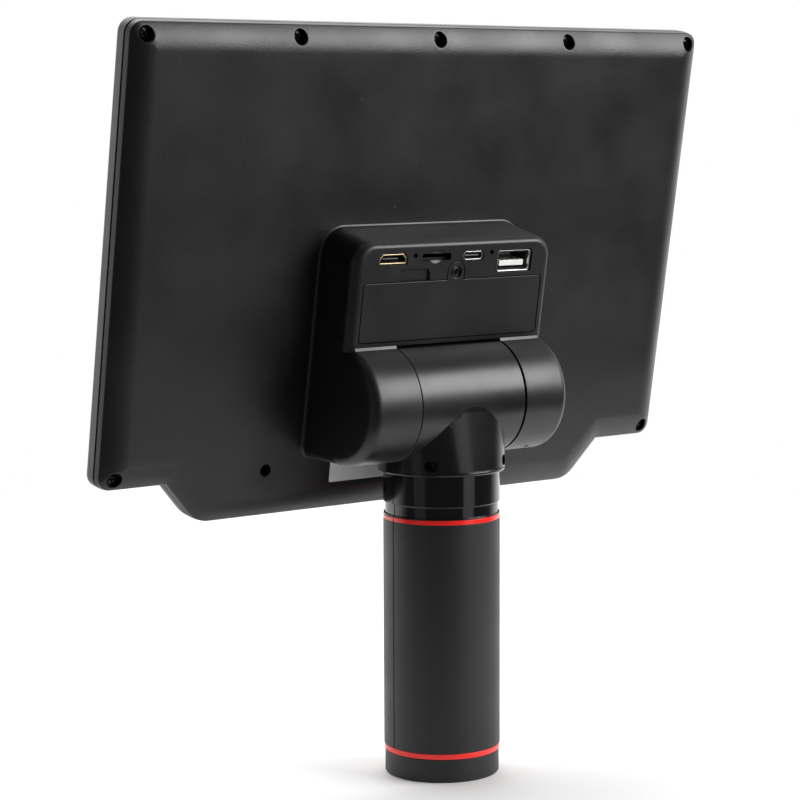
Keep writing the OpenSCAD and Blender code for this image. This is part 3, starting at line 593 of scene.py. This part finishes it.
def makeRearShell():
    d, s = display, screws
    pits = [(at, s["sink"]) for at in s["shell"]] + [(at, s["chinHole"]) for at in s["chin"]]
    rim, innerRim = displayOutline(d["rim"], 2.4), displayOutline(d["rim"] + 0.01)
    loops = [rim] + [displayOutline(inset, 3.0) for inset in d["slopeSteps"]]
    mouths = [disc(r + s["rim"], at) for at, r in pits]
    flat, edges = [], []

    def clearOfPits(point, room):
        return all((point - Vector(at)).length > r + room for at, r in pits)

    for i, loop in enumerate(loops + mouths):
        whole = i == 0 or i >= len(loops)
        numbers = []
        for p in loop:
            numbers.append(len(flat) if whole or clearOfPits(p, 1.1) else None)
            if numbers[-1] is not None:
                flat.append(p)
        edges += [(a, b) for a, b in zip(numbers, numbers[1:] + numbers[:1]) if None not in (a, b)]
    for at, r in pits:
        flat += [p for p in disc(r + 0.9, at) if insideLoop(p, loops[1])]
    inner = displayOutline(14.0)
    for i in range(-14, 15):
        for k in range(-4, 15):
            p = Vector((i * 8.0, k * 8.0 + 3))
            if clearOfPits(p, 1.1) and insideLoop(p, inner):
                flat.append(p)
    flatOut, _, tris, *_ = delaunay_2d_cdt(flat, edges, [], 0, 1e-5)
    points = onSlope(flatOut)
    faces = []
    for tri in tris:
        a, b, c = (flatOut[i] for i in tri)
        middle = (a + b + c) / 3
        if insideLoop(middle, innerRim) and clearOfPits(middle, s["rim"] * 0.98):
            faces.append(tuple(tri))

    def skirt(rings):
        start, count = len(points), len(rings[0])
        for ring in rings:
            points.extend(ring)
        faces.extend(sideFaces(start, count, len(rings)))
        faces.append(tuple(range(start + (len(rings) - 1) * count, start + len(rings) * count)))

    def rimRing(reach, depthAt):
        ring = []
        for i, p in enumerate(rim):
            along = (rim[(i + 1) % len(rim)] - rim[i - 1]).normalized()
            ring.append((p.x + along.y * reach, depthAt(p), p.y - along.x * reach))
        return ring

    # the rim goes on from the border's own slope and rolls over into the side wall,
    # which ends at the parting line
    rings, start = [], radians(d["rollSteps"][0])
    bow = (d["rim"] - d["lean"]) / (1 - sin(start))
    for turn in d["rollSteps"]:
        a = radians(turn)
        fall, reach = bow * (cos(start) - cos(a)), bow * (sin(a) - sin(start))
        rings.append(rimRing(reach, lambda p: backDepth(p) - fall))
    for reach, above in ((d["rim"], 0.3), (d["rim"] - 0.2, 0.06)):
        rings.append(rimRing(reach, lambda p: d["split"] + above))
    skirt(rings)
    for (at, r), mouth in zip(pits, mouths):
        rings = [onSlope(mouth)]
        for grow, fall in ((0.12, 0.05), (0.02, 0.22), (0.0, 0.34)):
            rings.append(onSlope(disc(r + grow, at), fall))
        rings.append(atDepth(disc(r, at), s["seat"]))
        skirt(rings)
    shell = tidyMesh(newObject("rearShell", points, faces), 0.002)

    # hollow inside, apart from the screw posts and the wall round the hinge
    under = d["split"] - 2
    hollow = drawn("hollow", displayOutline, [(d["split"] - 1, d["wall"])] + [
        (d["back"] - d["wall"] - bend(share), d["wall"] + d["borderWide"] * (1 - share))
        for share in (1, 0.8, 0.55, 0.3, 0.0)])
    posts = pegs(s["post"], s["shell"], under, d["back"], 24)
    posts += pegs(s["smallPost"], s["chin"], under, d["back"], 24)
    posts.append(rod(d["hingeWall"], -d["hingeWallHalf"], d["hingeWallHalf"], steps=96))
    combine(hollow, posts)
    tools = [hollow, rod(d["troughRadius"], -d["troughHalf"], d["troughHalf"])]
    scoop = rod(d["scoopRadius"], 100, 140, "Z")
    scoop.data.transform(onDisplay.inverted() @ onBarrel)
    tools.append(scoop)
    tools += pegs(s["shank"], s["shell"] + s["chin"], under, s["seat"] + 1)
    tools += pegs(s["shank"], s["housing"], under, d["back"] + 1)
    tools.append(block((-40, -22.0, 23.2), (40, -16, 57)))
    combine(shell, tools)
    onHead(shell, "shell", ("rear_shell",), "black_abs", 40)


makeRearShell()
print("rear shell done")

# front frame: rounded at the front, with the picture window and the button holes
buttons = {"names": ("power", "menu", "up", "ok", "down", "mode", "light"),
           "pitch": 20.0, "height": -36.4, "radius": 3.4, "out": 0.9}
screen = {"picture": (219.0, 137.4), "panel": (235.6, 143.6), "middle": 50.0, "bezel": 1.6, "slant": 2.2}
buttonAt = [((i - 3) * buttons["pitch"], buttons["height"]) for i in range(7)]


def rectangle(wide, high, centre=(0, 0), radius=0.0, segments=6):
    x, y = wide / 2, high / 2
    return filleted([(centre[0] + i * x, centre[1] + k * y, radius)
                     for i, k in ((1, 1), (-1, 1), (-1, -1), (1, -1))], segments)


def makeFrontFrame():
    d = display
    steps = [(d["frame"] - 0.03, 0.2), (d["frame"] - 0.25, 0)]
    for turn in (0, 22.5, 45, 67.5, 90):
        a = radians(turn)
        steps.append((d["front"] + d["frontEdge"] * (1 - sin(a)), d["frontEdge"] * (1 - cos(a))))
    shape = drawn("frontFrame", displayOutline, steps)
    pocket, inside = d["front"] + screen["bezel"], d["frame"] + 1
    wide, high = screen["picture"]
    middle = (0, screen["middle"])
    tools = [drawn("tool", lambda g: rectangle(wide + g, high + g, middle, 1.0),
                   [(pocket + 1, 0.0), (pocket - 0.5, 0.0), (d["front"] - 1.0, screen["slant"])]),
             prism(rectangle(*screen["panel"], middle), pocket, inside),
             block((-76, pocket, -42), (76, inside, d["bottom"] + 1))]
    tools += pegs(buttons["radius"] + 0.3, buttonAt, d["front"] - 1, pocket + 1, 40)
    tools += pegs(screws["pilot"], screws["shell"] + screws["chin"], pocket, inside)
    combine(shape, tools)
    onHead(shape, "frame", ("front_frame",), "black_abs", 30)


makeFrontFrame()
print("front frame done")

# port housing: a rounded block behind the ports, with an ear each side of the T
housing = {
    "wide": 90.2, "top": 60.1, "face": 2.2, "base": 20.0, "edge": 3.8, "topEdge": 2.4,
    "sideFall": 0.4, "topFall": 1.4, "corner": 9.5, "flare": 0.8, "drop": 22.8,
    "earEnd": 44.66, "earRound": 3.6, "draft": 0.02454, "underHole": -147.0,
    "gapLeft": 23.4, "gapRight": 24.0, "wall": 2.2, "earIn": 20.8, "bushEnd": 26.75, "bushRoom": 18.4,
    "ledgeEnd": 41.5, "ledge": ((-6, 21.55), (0, 21.55), (0.62, 20.5), (-6, 18)), "holeAcross": -34.2,
}
ports = {
    "row": 52.6, "hdmi": 28.25, "sd": 9.15, "usbC": -7.55, "usbA": -26.6, "usbARow": 50.1,
    "lightHole": (18.6, 53.5), "lightRadius": 0.85, "micHole": (-15.9, 53.6), "micRadius": 0.8,
    "sdMouth": (12.7, 2.4, 0.7), "usbCMouth": (9.4, 3.6, 1.75), "usbAMouth": (16.4, 8.3, 1.2),
    "recess": (11.7, 43.6, 25.0, 48.5, 0.9), "dimple": (3.9, 1.25, 2.5),
}
cover = {
    "wide": 80.2, "low": 23.2, "high": 21.0, "corner": 1.4, "tab": 3.75, "tabAt": (-0.4, 47.0),
    "thick": 1.5, "gap": 0.25, "screwSink": 2.35, "screwSeat": 0.9, "screwHole": 1.2,
}


def housingRing(depth, sideIn, topIn):
    h = housing
    half, top = h["wide"] / 2 - sideIn, h["top"] - topIn
    corner = max(h["corner"] - topIn, 5)
    return atDepth(filleted([
        (half, h["base"]), (half, top, corner), (-half, top, corner), (-half, h["base"])], 10), depth)


def coverOutline(grow):
    c = cover
    half, low, high = c["wide"] / 2 + grow, c["low"] - grow, c["low"] + c["high"] + grow
    tab = c["tab"] + grow
    middle = c["tabAt"][0]
    arch = disc(tab, c["tabAt"], 30)[:16]
    corner = c["corner"] + grow
    return filleted([(half, low, corner), (half, high, corner), (middle + tab, high)] + arch + [
        (middle - tab, high), (-half, high, corner), (-half, low, corner)], 6)


def hdmiOutline(gap):
    w, h = 5.9 + gap, 1.75 + gap
    loop = [(-w, -h, 0.3), (w, -h, 0.3), (w, h - 1.3, 0.4), (w - 1.3, h, 0.4), (1.3 - w, h, 0.4),
            (-w, h - 1.3, 0.4)]
    return [(p.x + ports["hdmi"], p.y + ports["row"]) for p in filleted(loop, 4)]


def mouth(outline, floor, flare=0.14, soft=0.3):
    # an opening out through the port face; its edge is eased by a small flare
    face = housing["face"]
    return drawn("tool", outline, [
        (floor, 0.0), (face - soft, 0.0), (face - soft * 0.4, flare * 0.3),
        (face, flare), (face + 2, flare)])


def rectMouth(size, place, floor=-1, flare=0.14, soft=0.3):
    wide, high, radius = size
    return mouth(lambda g: rectangle(wide + 2 * g, high + 2 * g, place, radius + g), floor, flare, soft)


def makePortHousing():
    h, p = housing, ports
    face, back, flare = h["face"], display["back"], h["flare"]
    rings = [housingRing(back, -flare, -flare), housingRing(back + 0.25, -flare * 0.45, -flare * 0.45),
             housingRing(back + 0.8, -0.06, -0.06), housingRing(back + 1.4, 0.03, 0.08)]
    for turn in range(0, 91, 15):
        a = radians(turn)
        rings.append(housingRing(
            face - h["edge"] + h["edge"] * sin(a),
            h["sideFall"] + h["edge"] * (1 - cos(a)),
            h["topFall"] + h["topEdge"] * (1 - cos(a))))
    body = lofted("portHousing", rings)
    # the root joins the ears to the back, its sides in one plane with the block's sides
    half = h["wide"] / 2 - 0.015
    root = []  # each ring is its depth, growth, low edge and corner
    for depth, grow, low, r in (
            (back, flare, -h["drop"], 4), (back + 0.25, flare * 0.45, -h["drop"], 4),
            (back + 0.8, 0.06, -h["drop"], 4), (back + 1.4, -0.03, -h["drop"], 4),
            (-0.5, -0.42, -20.8, 2)):
        x = half + grow
        root.append(atDepth(filleted(
            [(x, 24), (-x, 24), (-x, low - grow, r + grow), (x, low - grow, r + grow)], 8), depth))
    parts = [lofted("tool", root)]
    for side, inner in ((1, h["gapLeft"]), (-1, h["gapRight"])):
        end = side * h["earEnd"]
        profile = [(0, side * inner)] + filleted([
            (h["earIn"], side * inner, 0.1), (h["earIn"], end, h["earRound"]), (0, end)], 10)
        ear = turned("tool", profile, along="X", steps=144)
        for corner in ear.data.vertices:
            if abs(corner.co.x) > 30:
                corner.co.x -= side * h["draft"] * corner.co.y
        parts.append(ear)
        near, far = sorted((inner * side, side * h["ledgeEnd"]))
        parts.append(lofted("tool", [[(u, face + w, v) for w, v in h["ledge"]] for u in (near, far)]))
    combine(body, parts, "UNION")
    cavity = half - 3
    tools = [block((-cavity, -20, 23.8), (cavity, face - h["wall"], h["top"] - 3.9))]
    for side in (1, -1):
        ends = sorted((side * h["bushEnd"], side * cavity))
        tools.append(rod(h["bushRoom"], *ends, steps=64))
        tools.append(block((ends[0], -20, -h["bushRoom"]), (ends[1], 0, 23.9)))
    combine(body, tools)
    posts = pegs(screws["smallPost"], screws["housing"], back, -8, 24)
    posts += pegs(screws["smallPost"], [cover["tabAt"]], -9, face - 0.5, 24)
    combine(body, posts, "UNION")
    out = face + 2
    left, low, right, high, deep = p["recess"]
    tools = [
        block((-60, back - 10, -40), (60, back, 80)),
        block((-h["gapRight"], back - 1, -40), (h["gapLeft"], 30, 0)),
        rod(display["troughRadius"], -h["gapRight"], h["gapLeft"], steps=144),
        prism(rectangle(cover["wide"] - 2.4, cover["high"] - 1.2,
                        (0, cover["low"] + cover["high"] / 2), 1.2), -2, out),
        mouth(lambda g: coverOutline(cover["gap"] + g), face - cover["thick"] - 0.1, 0.08, 0.2),
        *pegs(screws["shank"], [cover["tabAt"]], -10, out),
        mouth(lambda g: hdmiOutline(0.25 + g), -1),
        rectMouth(p["sdMouth"], (p["sd"], p["row"] + 0.1)),
        rectMouth(p["usbCMouth"], (p["usbC"], p["row"])),
        rectMouth(p["usbAMouth"], (p["usbA"] - 0.1, p["usbARow"])),
        mouth(lambda g: disc(p["lightRadius"] + g, p["lightHole"], 24), -1, 0.1, 0.2),
        mouth(lambda g: disc(p["micRadius"] + g, p["micHole"], 24), -1, 0.1, 0.2),
        rectMouth((right - left, high - low, 1.5), ((left + right) / 2, (low + high) / 2),
                  face - deep, 0.3, 0.45),
        rod(7, -30, 30, steps=48),
    ]
    # the dimple that lets a finger reach the card, and a screw hole under one ear
    dimple = turned("tool", [(sin(radians(a)), cos(radians(a)))
                             for a in range(0, 181, 10)], steps=40)
    dimple.data.transform(Matrix.Translation((p["sd"], face + 0.3, p["row"]))
                          @ Matrix.Diagonal((*p["dimple"], 1)))
    hole = rod(1.0, 17, 22, "Z", 24)
    hole.data.transform(Matrix.Translation((h["holeAcross"], 0, 0))
                        @ Matrix.Rotation(radians(h["underHole"]), 4, "X"))
    tools += [dimple, hole, *pegs(screws["pilot"], screws["housing"], back - 1, back + 7)]
    combine(body, tools)
    onHead(body, "housing", ("port_housing",), "black_satin", 30)


makePortHousing()
print("port housing done")

# battery cover: a flush lid with an arched screw tab
face = housing["face"]
screwSeat = face - cover["screwSeat"]
lid = prism(coverOutline(0), face - cover["thick"], face, "batteryCover")
combine(lid, pegs(cover["screwSink"], [cover["tabAt"]], screwSeat, face + 1, 40)
        + pegs(cover["screwHole"], [cover["tabAt"]], -3, 3))
softenEdges(lid, 0.22, 3, 40)
settle(lid, onDisplay, "housing", "battery_cover", ("battery_cover",), "black_satin")

# buttons with crowned caps
for (across, up), name in zip(buttonAt, buttons["names"]):
    r, out = buttons["radius"], display["front"] - buttons["out"]
    under = display["front"] + screen["bezel"] + 0.1
    cap = turned("button" + name.capitalize(), [(0, out)] + filleted([
        (0.8, out), (r, out + 0.15, 0.5), (r, under), (r + 0.9, under), (r + 0.9, under + 0.7),
        (0, under + 0.7)], 5), along="W", steps=48)
    cap.data.transform(Matrix.Translation((across, 0, up)))
    settle(cap, onDisplay, "button", "button_" + name, ("button_" + name,), "button_plastic")
print("cover and buttons done")


def scatterTree(name, material):
    # repeated pieces are set on their points by a small node tree
    tree = bpy.data.node_groups.new(name, "GeometryNodeTree")
    for label, kind in (("Points", "NodeSocketGeometry"), ("Piece", "NodeSocketObject"),
                        ("Turn axis", "NodeSocketVector"), ("Seed", "NodeSocketInt")):
        tree.interface.new_socket(label, in_out="INPUT", socket_type=kind)
    tree.interface.new_socket("Pieces", in_out="OUTPUT", socket_type="NodeSocketGeometry")
    given = addNode(tree, "NodeGroupInput").outputs
    piece = addNode(tree, "GeometryNodeObjectInfo", {"Object": given["Piece"]},
                    transform_space="ORIGINAL")
    turn = addNode(tree, "FunctionNodeRandomValue", {"Seed": given["Seed"]}, data_type="FLOAT")
    turn.inputs[3].default_value = 2 * pi
    spin = addNode(tree, "VectorMath", {0: given["Turn axis"]}, operation="SCALE")
    tree.links.new(turn.outputs[1], spin.inputs["Scale"])
    placed = addNode(tree, "GeometryNodeInstanceOnPoints", {
        "Points": given["Points"], "Instance": piece.outputs["Geometry"], "Rotation": spin.outputs[0]})
    solid = addNode(tree, "GeometryNodeRealizeInstances", {"Geometry": placed.outputs[0]})
    finish = addNode(tree, "GeometryNodeSetMaterial", {"Geometry": solid.outputs[0], "Material": material})
    addNode(tree, "NodeGroupOutput", {"Pieces": finish.outputs[0]})
    return tree


def scatter(name, piece, places, turnAxis, seed, material):
    field = newObject(name, places, [])
    step = field.modifiers.new("scatter", "NODES")
    step.node_group = scatterTree(name, stuff[material])
    names = {item.name: item.identifier for item in step.node_group.interface.items_tree
             if item.in_out == "INPUT"}
    step[names["Piece"]] = piece
    step[names["Turn axis"]] = turnAxis
    step[names["Seed"]] = seed
    applyModifiers(field)
    bpy.data.objects.remove(piece)
    return field


def crossScrew(head, high, shank, length, along="W"):
    # a pan-head screw with a cross recess, its seat at zero
    crown = [(0, high), (head * 0.55, high * 0.97, 0.2), (head, high * 0.62, high * 0.35), (head, 0),
             (shank, 0), (shank, -length + 0.3), (shank - 0.3, -length), (0, -length)]
    screw = turned("screw", filleted(crown, 4), along="Z", steps=32)
    wings = []
    for turn in (0, 90):
        wing = lofted("tool", [
            [(x * head * grow, y * head * 0.2 * grow, z) for x, y in ((-1, -1), (1, -1), (1, 1), (-1, 1))]
            for z, grow in ((high * 0.2, 0.5), (high * 1.2, 0.78))])
        wing.data.transform(Matrix.Rotation(radians(turn), 4, "Z"))
        wings.append(wing)
    combine(screw, wings)
    if along == "W":
        screw.data.transform(Matrix.Rotation(-pi / 2, 4, "X"))
    return screw


# each size is head radius, head height, shank radius and length
for name, node, size, places, body, seed in (
        ("shellScrews", "shell_screws", (2.0, 1.3, 1.1, 4.6),
         atDepth(screws["shell"], screws["seat"]), "display", 3),
        ("chinScrews", "chin_screws", (1.9, 1.3, 1.1, 4.6),
         atDepth(screws["chin"], screws["seat"]), "display", 5),
        ("coverScrew", "cover_screw", (1.9, 0.65, 1.0, 6.0),
         atDepth([cover["tabAt"]], screwSeat), "battery_cover", 8)):
    placed = scatter(name, crossScrew(*size), places, (0, 1, 0), seed, "blackScrew")
    settle(placed, onDisplay, "blackScrew", body, (node,), "black_screw", 30)

inner = {"screwAt": 9.6, "screwSeat": 68.9, "lightRing": 10.8, "lightSeat": 8.9, "lights": 8}
cameraCorners = [(x * inner["screwAt"], y * inner["screwAt"], inner["screwSeat"])
                 for x in (-1, 1) for y in (-1, 1)]
cameraScrews = scatter("cameraScrews", crossScrew(1.6, 1.0, 0.8, 5.1, "Z"), cameraCorners,
                       (0, 0, 1), 4, "steel")
settle(cameraScrews, onBarrel, "steel", "barrel", ("camera_screws",), "steel")

lamp = turned("lamp", filleted([
    (0, -1.6), (1.1, -1.6, 0.5), (1.5, -0.6, 0.2), (1.5, 0), (0, 0)], 4), steps=24)
lampPlaces = [(*at, inner["lightSeat"]) for at in disc(inner["lightRing"], (0, 0), inner["lights"])]
lamps = scatter("ringLights", lamp, lampPlaces, (0, 0, 0), 1, "led")
settle(lamps, onBarrel, "led", "barrel", ("leds",), "led_white")
print("screws and lights placed")


# sockets behind the port face; a slab is its half width, then its back and front behind the
# face and its low and high sides from the row; pads start with their number, pitch and width
sockets = {
    "hdmi": {"sheet": 0.36, "depth": 8, "shadeSleeve": (0.4, 0.7, 6.8),
             "tongue": (3.6, 6.4, 1.9, -0.45, 0.05), "pads": (9, 0.75, 0.4, 5, 2.1, 0, 0.12)},
    "usbC": {"size": (9.0, 3.2, 1.58), "sheet": 0.38, "depth": 7.5, "shadeSleeve": (0.42, 0.55, 6.4),
             "tongue": (3.1, 6, 1.0, -0.22, 0.22), "pads": (12, 0.5, 0.25, 4.5, 1.6, 0.2, 0.25)},
    "usbA": {"size": (14.5, 7.0, 0.6), "sheet": 0.36, "depth": 14.5, "flare": 0.45,
             "shadeSleeve": (0.38, 1.3, 13.4), "spring": (1.0, 6, 2.2, -0.12, 0.12), "springAt": (-2.4, 3.1),
             "tongue": (5.6, 13.5, 1.4, -2.1, -0.1), "root": (6.8, 13.5, 10, -3.1, 3.1),
             "pads": (4, 2.4, 1.1, 9.5, 2.0, -0.14, 0.08)},
    "card": {"box": (7, 15, 2.4, -1.1, 1.9), "slot": (5.7, 14, 0, -0.5, 0.7),
             "pads": (8, 1.1, 0.7, 12, 8, -0.52, -0.42)},
}
socketSlots = {
    "mini_hdmi_socket": "gold_plate", "usb_c_socket": "bright_steel", "usb_a_socket": "bright_steel"}


def slab(name, at, level, size):
    half, back, front, low, high = size
    return block((at - half, face - back, level + low), (at + half, face - front, level + high), name)


def padRow(name, at, level, pads, slotName, finish):
    count, pitch, wide, *rest = pads
    pad = slab("pad", 0, level, (wide / 2, *rest))
    places = [((i - (count - 1) / 2) * pitch + at, 0, 0) for i in range(count)]
    row = scatter(name, pad, places, (0, 0, 0), 1, finish)
    onHead(row, finish, (), slotName)


def socketShell(name, outline, look, finish, node):
    # a drawn sheet shell, open towards the port face, its lips turned out a little
    out, back, flare = face - 0.3, face - look["depth"], look.get("flare", 0.0)
    rings = [(back, 0), (out - 1.2, 0), (out - 0.3, flare * 0.7), (out, flare)]
    shell = drawn(name + "Shell", outline, rings)
    combine(shell, [drawn("tool", lambda g: outline(g - look["sheet"]),
                          [(back + 1, 0)] + rings[1:] + [(out + 1, flare)])])
    softenEdges(shell, 0.13, 3, 40)
    onHead(shell, finish, (node,), socketSlots[node])


def socketPart(piece, finish, node, soft=0.1):
    onHead(softenEdges(piece, soft, 2), finish, (node,), socketSlots[node])


def shadeSleeve(name, outline, look, node):
    # a dark sleeve inside a shell behind the lips: painted shade standing in for the dark depth of the
    # socket
    inset, start, depth = look["shadeSleeve"]
    sleeve = prism(outline(-inset), face - depth, face - start, name + "Lining")
    combine(sleeve, [drawn("tool", lambda g: outline(g - inset), [
        (face - depth + 0.6, -0.35), (face - start - 0.3, -0.35), (face - start + 0.1, -0.2)])])
    onHead(sleeve, "darkPlastic", (node,), socketSlots[node])


row, usbA, usbARow, card = ports["row"], ports["usbA"], ports["usbARow"], ports["sd"]


def usbCOutline(grow):
    wide, high, corner = sockets["usbC"]["size"]
    return rectangle(wide + 2 * grow, high + 2 * grow, (ports["usbC"], row), corner + grow, 8)


def usbAOutline(grow):
    wide, high, corner = sockets["usbA"]["size"]
    return rectangle(wide + 2 * grow, high + 2 * grow, (usbA, usbARow), max(corner + grow, 0.05))


for name, outline, finish, node, contact in (
        ("hdmi", hdmiOutline, "gold", "mini_hdmi_socket", "gold_plate"),
        ("usbC", usbCOutline, "brightSteel", "usb_c_socket", "bright_steel")):
    look, at = sockets[name], ports[name]
    socketShell(name, outline, look, finish, node)
    # each socket gets a dark sleeve of painted shade inside its shell
    shadeSleeve(name, outline, look, node)
    # the tongue's light grey is a painted highlight
    socketPart(slab(name + "Tongue", at, row, look["tongue"]), "tongueHighlightGrey", node)
    padRow(name + "Pads", at, row, look["pads"], contact, "contact")

look = sockets["usbA"]
socketShell("usbA", usbAOutline, look, "brightSteel", "usb_a_socket")
aside, apart = look["springAt"]
for name, at in (("usbASpringLow", usbARow - apart), ("usbASpringHigh", usbARow + apart)):
    socketPart(slab(name, usbA + aside, at, look["spring"]), "brightSteel", "usb_a_socket", 0.05)
# a dark sleeve of painted shade inside the USB-A shell
shadeSleeve("usbA", usbAOutline, look, "usb_a_socket")
tongue = slab("usbATongue", usbA, usbARow, look["tongue"])
combine(tongue, [slab("tool", usbA, usbARow, look["root"])], "UNION")
softenEdges(tongue, 0.15, 2)
onHead(tongue, "whitePlastic", ("usb_a_tongue",), "white_plastic")
padRow("usbAPads", usbA, usbARow, look["pads"], "bright_steel", "darkPlastic")

look = sockets["card"]
# the card socket is all dark plastic: painted shade for the dark inside of the slot
cardBox = slab("cardSocket", card, row, look["box"])
combine(cardBox, [slab("tool", card, row, look["slot"])])
onHead(cardBox, "darkPlastic", ("micro_sd_socket",), "dark_plastic")
padRow("cardPads", card, row, look["pads"], "dark_plastic", "contact")
print("sockets done")

# silver rating film, left bare
label = {"wide": 28.2, "high": 9.8, "at": (18.1, -28.3), "corner": 0.6, "thick": 0.12}
film = prism(rectangle(label["wide"], label["high"], label["at"], label["corner"]),
             display["back"], display["back"] + label["thick"], "ratingLabel")
onHead(film, "label", ("rating_label",), "label_film")


# everything inside keeps its solid's shape, welded and smoothed
def copied(node, material, body, slotName):
    source = frame["nodes"][node]
    piece = linked(node.replace("_", "-"), source.data.copy())
    piece.matrix_world = source.matrix_world.copy()
    tidyMesh(piece, 1e-6)
    settle(piece, Matrix(), material, body, (node,), slotName, 30)


innerParts = {
    "barrel": (
        ("neck_lock_screws", "blackout", "black_screw"), ("hinge_bushes", "acetal", "bearing_plastic"),
        ("lens_guide_tube", "darkPlastic", "dark_plastic"), ("camera_board", "board", "circuit_board"),
        ("image_sensor", "sensor", "sensor"), ("led_board", "board", "circuit_board"),
        ("signal_ribbon", "film", "ribbon_film")),
    "focus_ring": (("front_window", "clear", "lens_glass"),),
    "lens_carrier": (
        ("lens_carrier", "darkPlastic", "dark_plastic"), ("follower_pins", "steel", "steel"),
        ("objective_lens", "clear", "lens_glass"), ("field_lens", "clear", "lens_glass")),
    "display": (
        ("lcd_cell", "screen", "screen_glass"), ("backlight_unit", "tray", "backlight"),
        ("main_board", "board", "circuit_board"), ("board_screws", "steel", "steel"),
        ("socket_board", "board", "circuit_board"), ("charge_light", "led", "led_white"),
        ("microphone", "steel", "sensor"), ("housing_screws", "blackScrew", "black_screw"),
        ("hinge_tube", "steel", "steel"), ("hinge_nuts", "steel", "steel"),
        ("wave_washer", "steel", "steel"), ("battery_tray", "darkPlastic", "dark_plastic"),
        ("battery_cell", "cell", "cell_can"), ("battery_contacts", "brightSteel", "bright_steel"),
        ("button_board", "board", "circuit_board")),
}
for body, parts in innerParts.items():
    for node, material, slotName in parts:
        copied(node, material, body, slotName)
print("inner parts done")

# pale floor, soft studio light and the camera
studio = {
    "floorRadius": 0.46, "floorCentre": (-0.15, -0.23), "floorColour": "#f4f4f4",
    "backdrop": 1.7, "room": 0.1, "facing": (-0.342, -0.94, 0.0), "opening": (0.0, 0.6),
    "boxPlace": (-0.678, 0.726, 0.641), "boxSize": (0.81, 0.575), "boxPower": 12.8,
    "overPlace": (-0.2, -0.65, 1.5), "overSize": (1.3, 1.3), "overPower": 15.0,
    "strips": ((98.0, 0.25), (-163.0, 1.0)), "stripFar": 1.2, "stripSize": (0.5, 0.8), "stripHigh": 0.25,
}
floorPoints = [(*at, 0) for at in disc(studio["floorRadius"], studio["floorCentre"], 96)]
floor = newObject("floor", floorPoints, [tuple(range(96))])
floor.data.materials.append(startMaterial("pale paper floor", {
    "Roughness": 0.7, "Base Color": linearColour(studio["floorColour"])})[0])

# the room is dim on the near side and opens to a white sweep behind the object
world = bpy.data.worlds.new("studio")
bpy.context.scene.world = world
bpy.context.scene.view_settings.view_transform = "Standard"
world.use_nodes = True
sky = world.node_tree
sky.nodes.clear()
heading = addNode(sky, "VectorMath", {
    0: addNode(sky, "TexCoord").outputs["Generated"], 1: studio["facing"]},
    operation="DOT_PRODUCT")
sweep = ramp(sky, heading.outputs["Value"], *studio["opening"],
             studio["room"], studio["backdrop"], "SMOOTHSTEP")
seen = addNode(sky, "LightPath").outputs["Is Camera Ray"]
strength = addNode(sky, "Mix", {"Factor": seen, "A": sweep, "B": 1.0})
glow = addNode(sky, "Background", {
    "Color": linearColour("#ffffff"), "Strength": strength.outputs[0]})
addNode(sky, "OutputWorld", {"Surface": glow.outputs[0]})


def softLight(name, place, size, power, target):
    data = bpy.data.lights.new(name, "AREA")
    data.shape = "RECTANGLE"
    data.size, data.size_y = size
    data.energy = power
    aim = (Vector(target) - Vector(place)).to_track_quat("-Z", "Y")
    linked(name, data).matrix_world = Matrix.Translation(place) @ aim.to_matrix().to_4x4()


softLight("softbox", studio["boxPlace"], studio["boxSize"], studio["boxPower"], (0, 0, 0.15))
for turn, power in studio["strips"]:
    a, far, high = radians(turn), studio["stripFar"], studio["stripHigh"]
    softLight("strip", (far * sin(a), -far * cos(a), high), studio["stripSize"], power, (0, 0, high))
softLight("overhead", studio["overPlace"], studio["overSize"], studio["overPower"], (-0.2, -0.2, 0))

# a long lens, turned by the directions of its picture's right and top
shot = {
    "place": (0.5559, 0.6950, 0.2360), "lens": 112.557, "sensor": 36,
    "right": (-0.79088715, 0.61194828, -0.00410089), "top": (-0.07218569, -0.08663477, 0.99362148),
}
right, top = Vector(shot["right"]), Vector(shot["top"])
cameraData = bpy.data.cameras.new("camera")
cameraData.lens, cameraData.sensor_width = shot["lens"], shot["sensor"]
camera = linked("camera", cameraData)
facing = Matrix((right, top, right.cross(top))).transposed().to_4x4()
camera.matrix_world = Matrix.Translation(shot["place"]) @ facing
bpy.context.scene.camera = camera

print("all pieces placed")
